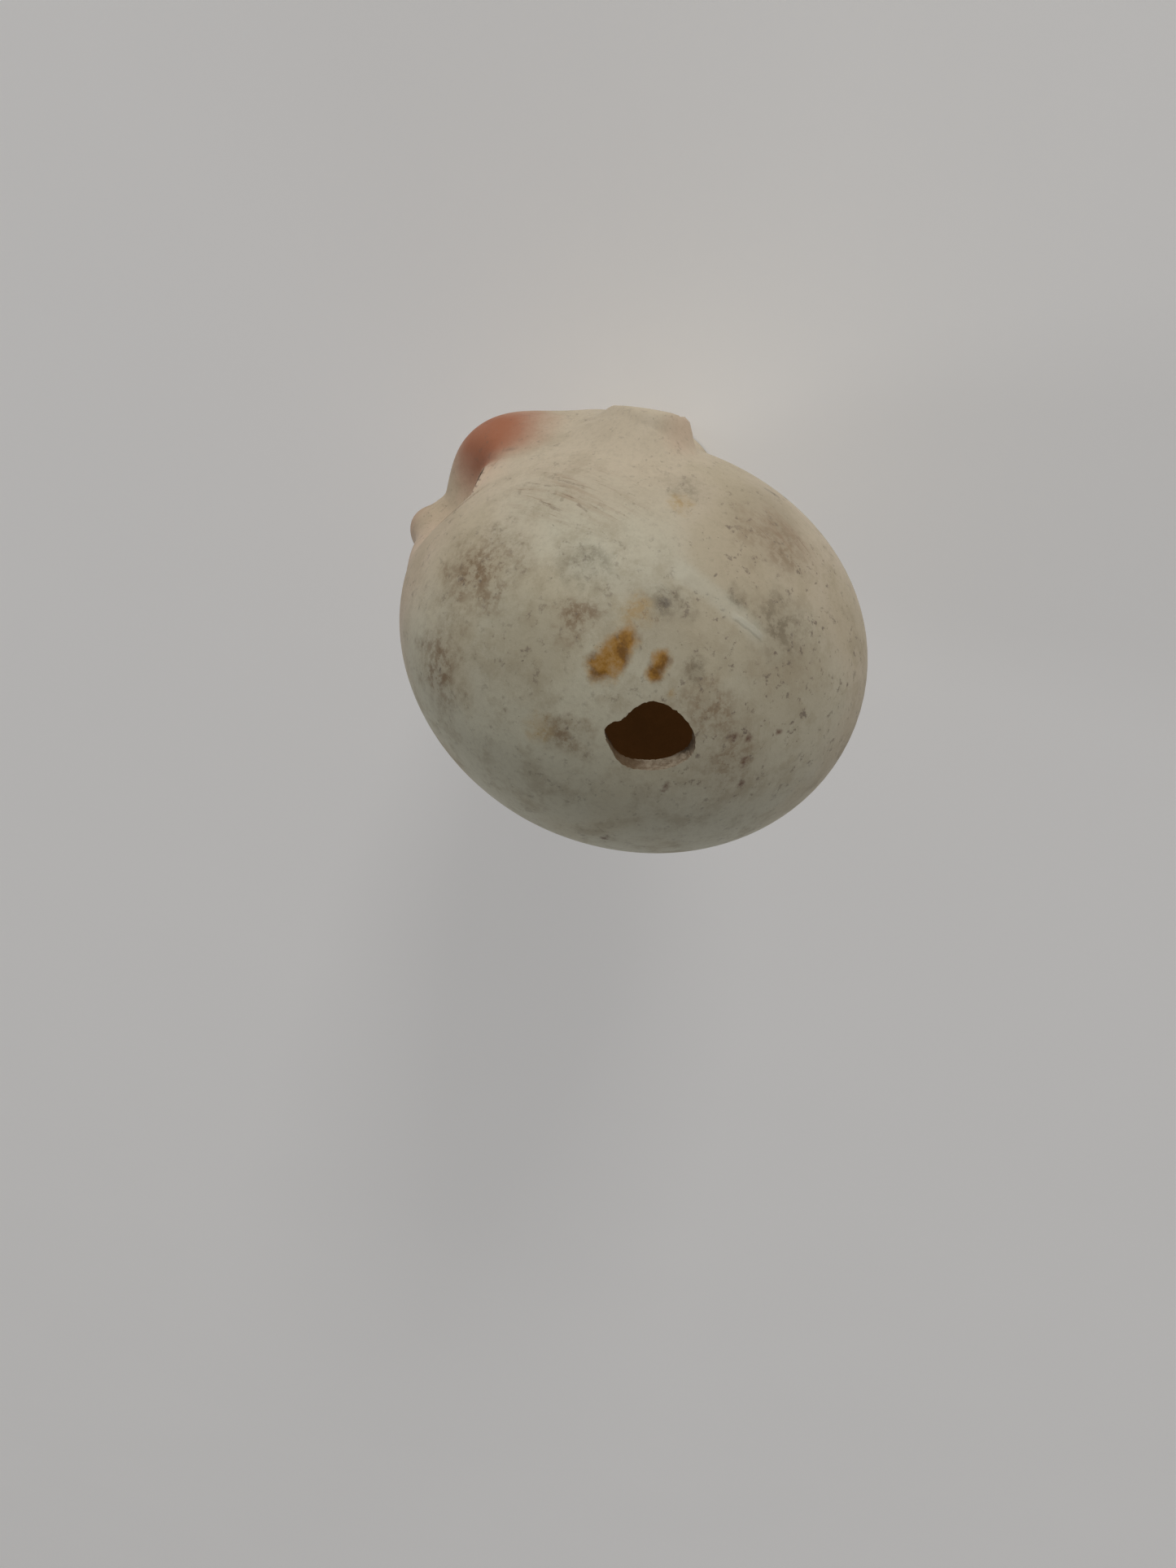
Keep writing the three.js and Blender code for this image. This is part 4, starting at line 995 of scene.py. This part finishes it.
bridge = eased_bend(coil[-1], coil[-1] + leave * 0.8, down[0] - stem_way * 0.9, down[0], 24)
stem = rod("stem_wire", np.concatenate([coil, bridge, down]), wire_radius - clearance, 14, to_left)
iron_finish = iron()
for wire in (cross_wire, stem):
    dressed(wire, 70, iron_finish)
    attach(wire, "eyes")
    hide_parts("yoke_wire")

# The counterweight: lead cast round the end of the stem in a turned mould, knocked and scraped where
# it was trimmed to make the eyes hang true.
weight_radius, weight_half, weight_chamfer = 4.4, 4.5, 1.2
weight_end = weight_radius - weight_chamfer
weight_profile = np.array([
    [0, -weight_half + 0.5], [1.0, -weight_half + 0.25], [1.6, -weight_half], [weight_end, -weight_half],
    [weight_radius, -weight_half + weight_chamfer], [weight_radius, weight_half - weight_chamfer],
    [weight_end, weight_half], [0, weight_half],
])


def lead():
    """Cast lead: dull blue-grey skin with a whitish bloom and brighter scrapes."""
    f = Finish("lead", Metallic=0.75)
    bloom = f.step(f.noise(0.7, 4.0, 0.65), 0.42, 0.66)
    scraped = f.step(f.noise(1.0, 3.0, 0.7, at=f.vector("MULTIPLY", f.at, (3.0, 3.0, 0.6))), 0.62, 0.68)
    colour = f.mix(bloom, (0.16, 0.165, 0.175), (0.36, 0.36, 0.345))
    f.shade(Base_Color=f.mix(f.times(scraped, 0.6), colour, (0.50, 0.50, 0.51)),
            Roughness=f.minus(f.step(bloom, 0, 1, 0.5, 0.8), f.times(scraped, 0.25)))
    f.relief((f.noise(0.8, 4.0, 0.6), 0.18), (scraped, -0.05), (f.noise(5.0, 3.0, 0.6), 0.02))
    return f.material


weight = turned("lead_counterweight", softened(weight_profile, 110, 10), weight_centre, stem_way, 96)
roughened(weight, weight_centre, 0.16, 3.4, 23)
dressed(weight, 60, lead())
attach(weight, "eyes")
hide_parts("lead_weight")

# Two dabs of plaster of Paris thumbed into the temples over the ends of the wire, which turn in
# them: each keys to the wall of the hollow, with an uneven edge and a domed face.
dab_face, dab_radius = 16.71, 3.7
dab_middle = np.array([eye_centre[1] + 1.9, eye_centre[2]])


def dab_rings(side):
    """Rings of one dab, out over the wall of the hollow to its edge and back over a domed face:
    places in the dab by radius and angle, the depth found along level rays."""
    steps = 22
    outward = np.sin(np.linspace(0.05, 1, steps) * np.pi / 2)
    radius = np.concatenate([outward, outward[::-1]])[:, None]
    turn = side * full_turn(84)[None]
    uneven_edge = 0.05 * (1 + np.sin(3 * turn + 1.0)) / 2 + 0.04 * (1 + np.sin(5 * turn + side)) / 2
    out = radius * dab_radius * (1 - uneven_edge)
    level = np.stack([0 * out, dab_middle[0] + out * np.cos(turn), dab_middle[1] + out * np.sin(turn)], -1)
    wall = along_rays(level, np.broadcast_to(side * to_left, level.shape), hollow)
    depth = np.abs(wall[..., 0]) - 0.1
    on_face = (np.arange(len(radius)) >= steps)[:, None]
    dome = np.sqrt(np.clip(1 - radius**4, 0, 1))
    wall[..., 0] = side * np.where(on_face, depth - (depth - dab_face) * dome, depth)
    return wall[::-1]


for side, name in left_and_right:
    rings = dab_rings(side)
    dab = closed_skin(f"{name}_temple_dab", rings, rings[0].mean(0), rings[-1].mean(0))
    roughened(dab, np.array([side * 19.0, *dab_middle]), 0.2, 2.2, 31 + side)
    dressed(dab, 60, plaster_finish)
    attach(dab, "head")
    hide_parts(f"{name}_temple_plaster")

# A plug cut from an old bottle cork and glued into the chin, which the weight comes to rest on when
# the eyes are open, so that it doesn't knock on the bisque.
cork_radius, cork_lip, cork_gap = 3.3, 0.35, 0.3
cork_way = np.array([0.0, stem_way[2], -stem_way[1]])
cork_start = weight_centre + stem_way * 2.25 + cork_way * (weight_radius + cork_gap)


def cork_rings():
    """Rings from the wall of the hollow in the chin to the rim and the face of the cork: a circle
    along the cork's own way, its far end found on the wall, its rim rounded over."""
    side = np.cross(to_left, -cork_way)
    turn = full_turn(84)[:, None]
    spokes = np.cos(turn) * side + np.sin(turn) * np.cross(-cork_way, side)
    wall_rows, face_rows = 12, 9
    over = np.linspace(0, np.pi / 2, 6)
    rounded = cork_radius - cork_lip + cork_lip * np.cos(over)
    face = np.concatenate([[cork_radius] * wall_rows, rounded, np.linspace(cork_radius - 0.6, 0.2, face_rows)])
    depth = np.concatenate([np.linspace(1, 0, wall_rows), np.zeros(len(over) + face_rows)])
    lip = np.concatenate([np.full(wall_rows, cork_lip), cork_lip - cork_lip * np.sin(over), np.zeros(face_rows)])
    start = cork_start + face[:, None, None] * spokes
    wall = along_rays(start, np.broadcast_to(cork_way, start.shape), lambda p: hollow(p) + 0.1)
    inner = start + cork_way * lip[:, None, None]
    return inner + (wall - inner) * depth[:, None, None]


def cork():
    """Cork: warm brown in soft bands, with dark pores and crumbled pits."""
    f = Finish("cork", Roughness=0.9, Specular_IOR_Level=0.2)
    bands = f.noise(1.0, 3.0, 0.6, at=f.vector("MULTIPLY", f.at, (0.35, 0.35, 1.4)))
    colour = f.mix(f.step(bands, 0.35, 0.65), (0.42, 0.25, 0.13), (0.29, 0.16, 0.08))
    pores = f.step(f.noise(1.0, 3.0, 0.7, at=f.vector("MULTIPLY", f.at, (2.8, 1.1, 1.4))), 0.60, 0.66)
    f.shade(Base_Color=f.mix(f.times(pores, 0.85), colour, (0.07, 0.035, 0.02)))
    f.relief((pores, -0.3), (f.noise(4.5, 4.0, 0.7), 0.06))
    return f.material


rings = cork_rings()
chin = closed_skin("chin_bumper", rings, rings[0].mean(0), rings[-1].mean(0))
roughened(chin, cork_start + cork_way * 4, 0.12, 2.0, 41)
dressed(chin, 50, cork())
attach(chin, "head")
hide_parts("chin_cork")

# The table under the head, the camera held over the crown, and soft light from a window beyond it
# and from a pale room.
camera_place = np.array([-83.068, -5.79, 174.096])
camera_right = Vector((-0.29483, 0.94166, -0.16236))
camera_back = Vector((-0.63586, -0.06651, 0.76893)).normalized()
camera_right = (camera_right - camera_back * camera_right.dot(camera_back)).normalized()
camera_up = camera_back.cross(camera_right)
camera = bpy.data.objects.new("camera", bpy.data.cameras.new("camera"))
camera.data.lens, camera.data.sensor_width = 27.02, 36.0
camera.data.clip_start = 0.005
camera_turn = Matrix((camera_right, camera_up, camera_back)).transposed().to_4x4()
camera.matrix_world = Matrix.Translation(Vector(camera_place * mm)) @ camera_turn
bpy.context.scene.collection.objects.link(camera)
bpy.context.scene.camera = camera

floor_reach, floor_level = 12000.0, -0.2
corners = [(x * floor_reach, y * floor_reach, floor_level) for x, y in ((-1, -1), (1, -1), (1, 1), (-1, 1))]
floor = new_piece("floor", np.array(corners), [(0, 1, 2, 3)])
paper = Finish("pale_floor", Roughness=0.8, Specular_IOR_Level=0.15, Emission_Strength=0.2,
               Emission_Color=(1.0, 0.985, 0.975, 1))
cloudy = paper.mix(paper.noise(0.02, 3.0), (0.76, 0.755, 0.75), (0.79, 0.785, 0.78))
paper.shade(Base_Color=cloudy)
floor.data.materials.append(paper.material)


def lamp(name, place, aim, size, power, tint):
    """A square area lamp at a place, turned to a point."""
    made = bpy.data.objects.new(name, bpy.data.lights.new(name, "AREA"))
    made.data.shape, made.data.size, made.data.energy, made.data.color = "SQUARE", size, power, tint
    made.location = place
    made.rotation_euler = (Vector(aim) - Vector(place)).to_track_quat("-Z", "Y").to_euler()
    bpy.context.scene.collection.objects.link(made)


lamp("window", (-1.17, -0.10, 0.28), (0, 0, 0.04), 0.3, 5.4, (1.0, 0.98, 0.95))
lamp("fill", (0.5, -1.7, 0.85), (0, 0, 0.04), 0.4, 2.8, (1.0, 0.985, 0.96))
lamp("bounce", (1.0, 0.9, 0.7), (0, 0, 0.05), 0.7, 1.2, (1.0, 0.98, 0.95))
world = bpy.data.worlds.new("studio")
world.use_nodes = True
sky = world.node_tree
height = sky.nodes.new("ShaderNodeSeparateXYZ")
sky.links.new(sky.nodes.new("ShaderNodeTexCoord").outputs["Generated"], height.inputs[0])
fall = sky.nodes.new("ShaderNodeMapRange")
fall.interpolation_type = "SMOOTHSTEP"
for socket, value in zip(fall.inputs[1:5], (0.35, 0.75, 0.42, 0.08)):
    socket.default_value = value
sky.links.new(height.outputs["Z"], fall.inputs[0])
sky.links.new(fall.outputs[0], sky.nodes["Background"].inputs["Strength"])
sky.nodes["Background"].inputs["Color"].default_value = (1.0, 0.99, 0.98, 1)
bpy.context.scene.world = world
bpy.context.scene.view_settings.view_transform = "Standard"
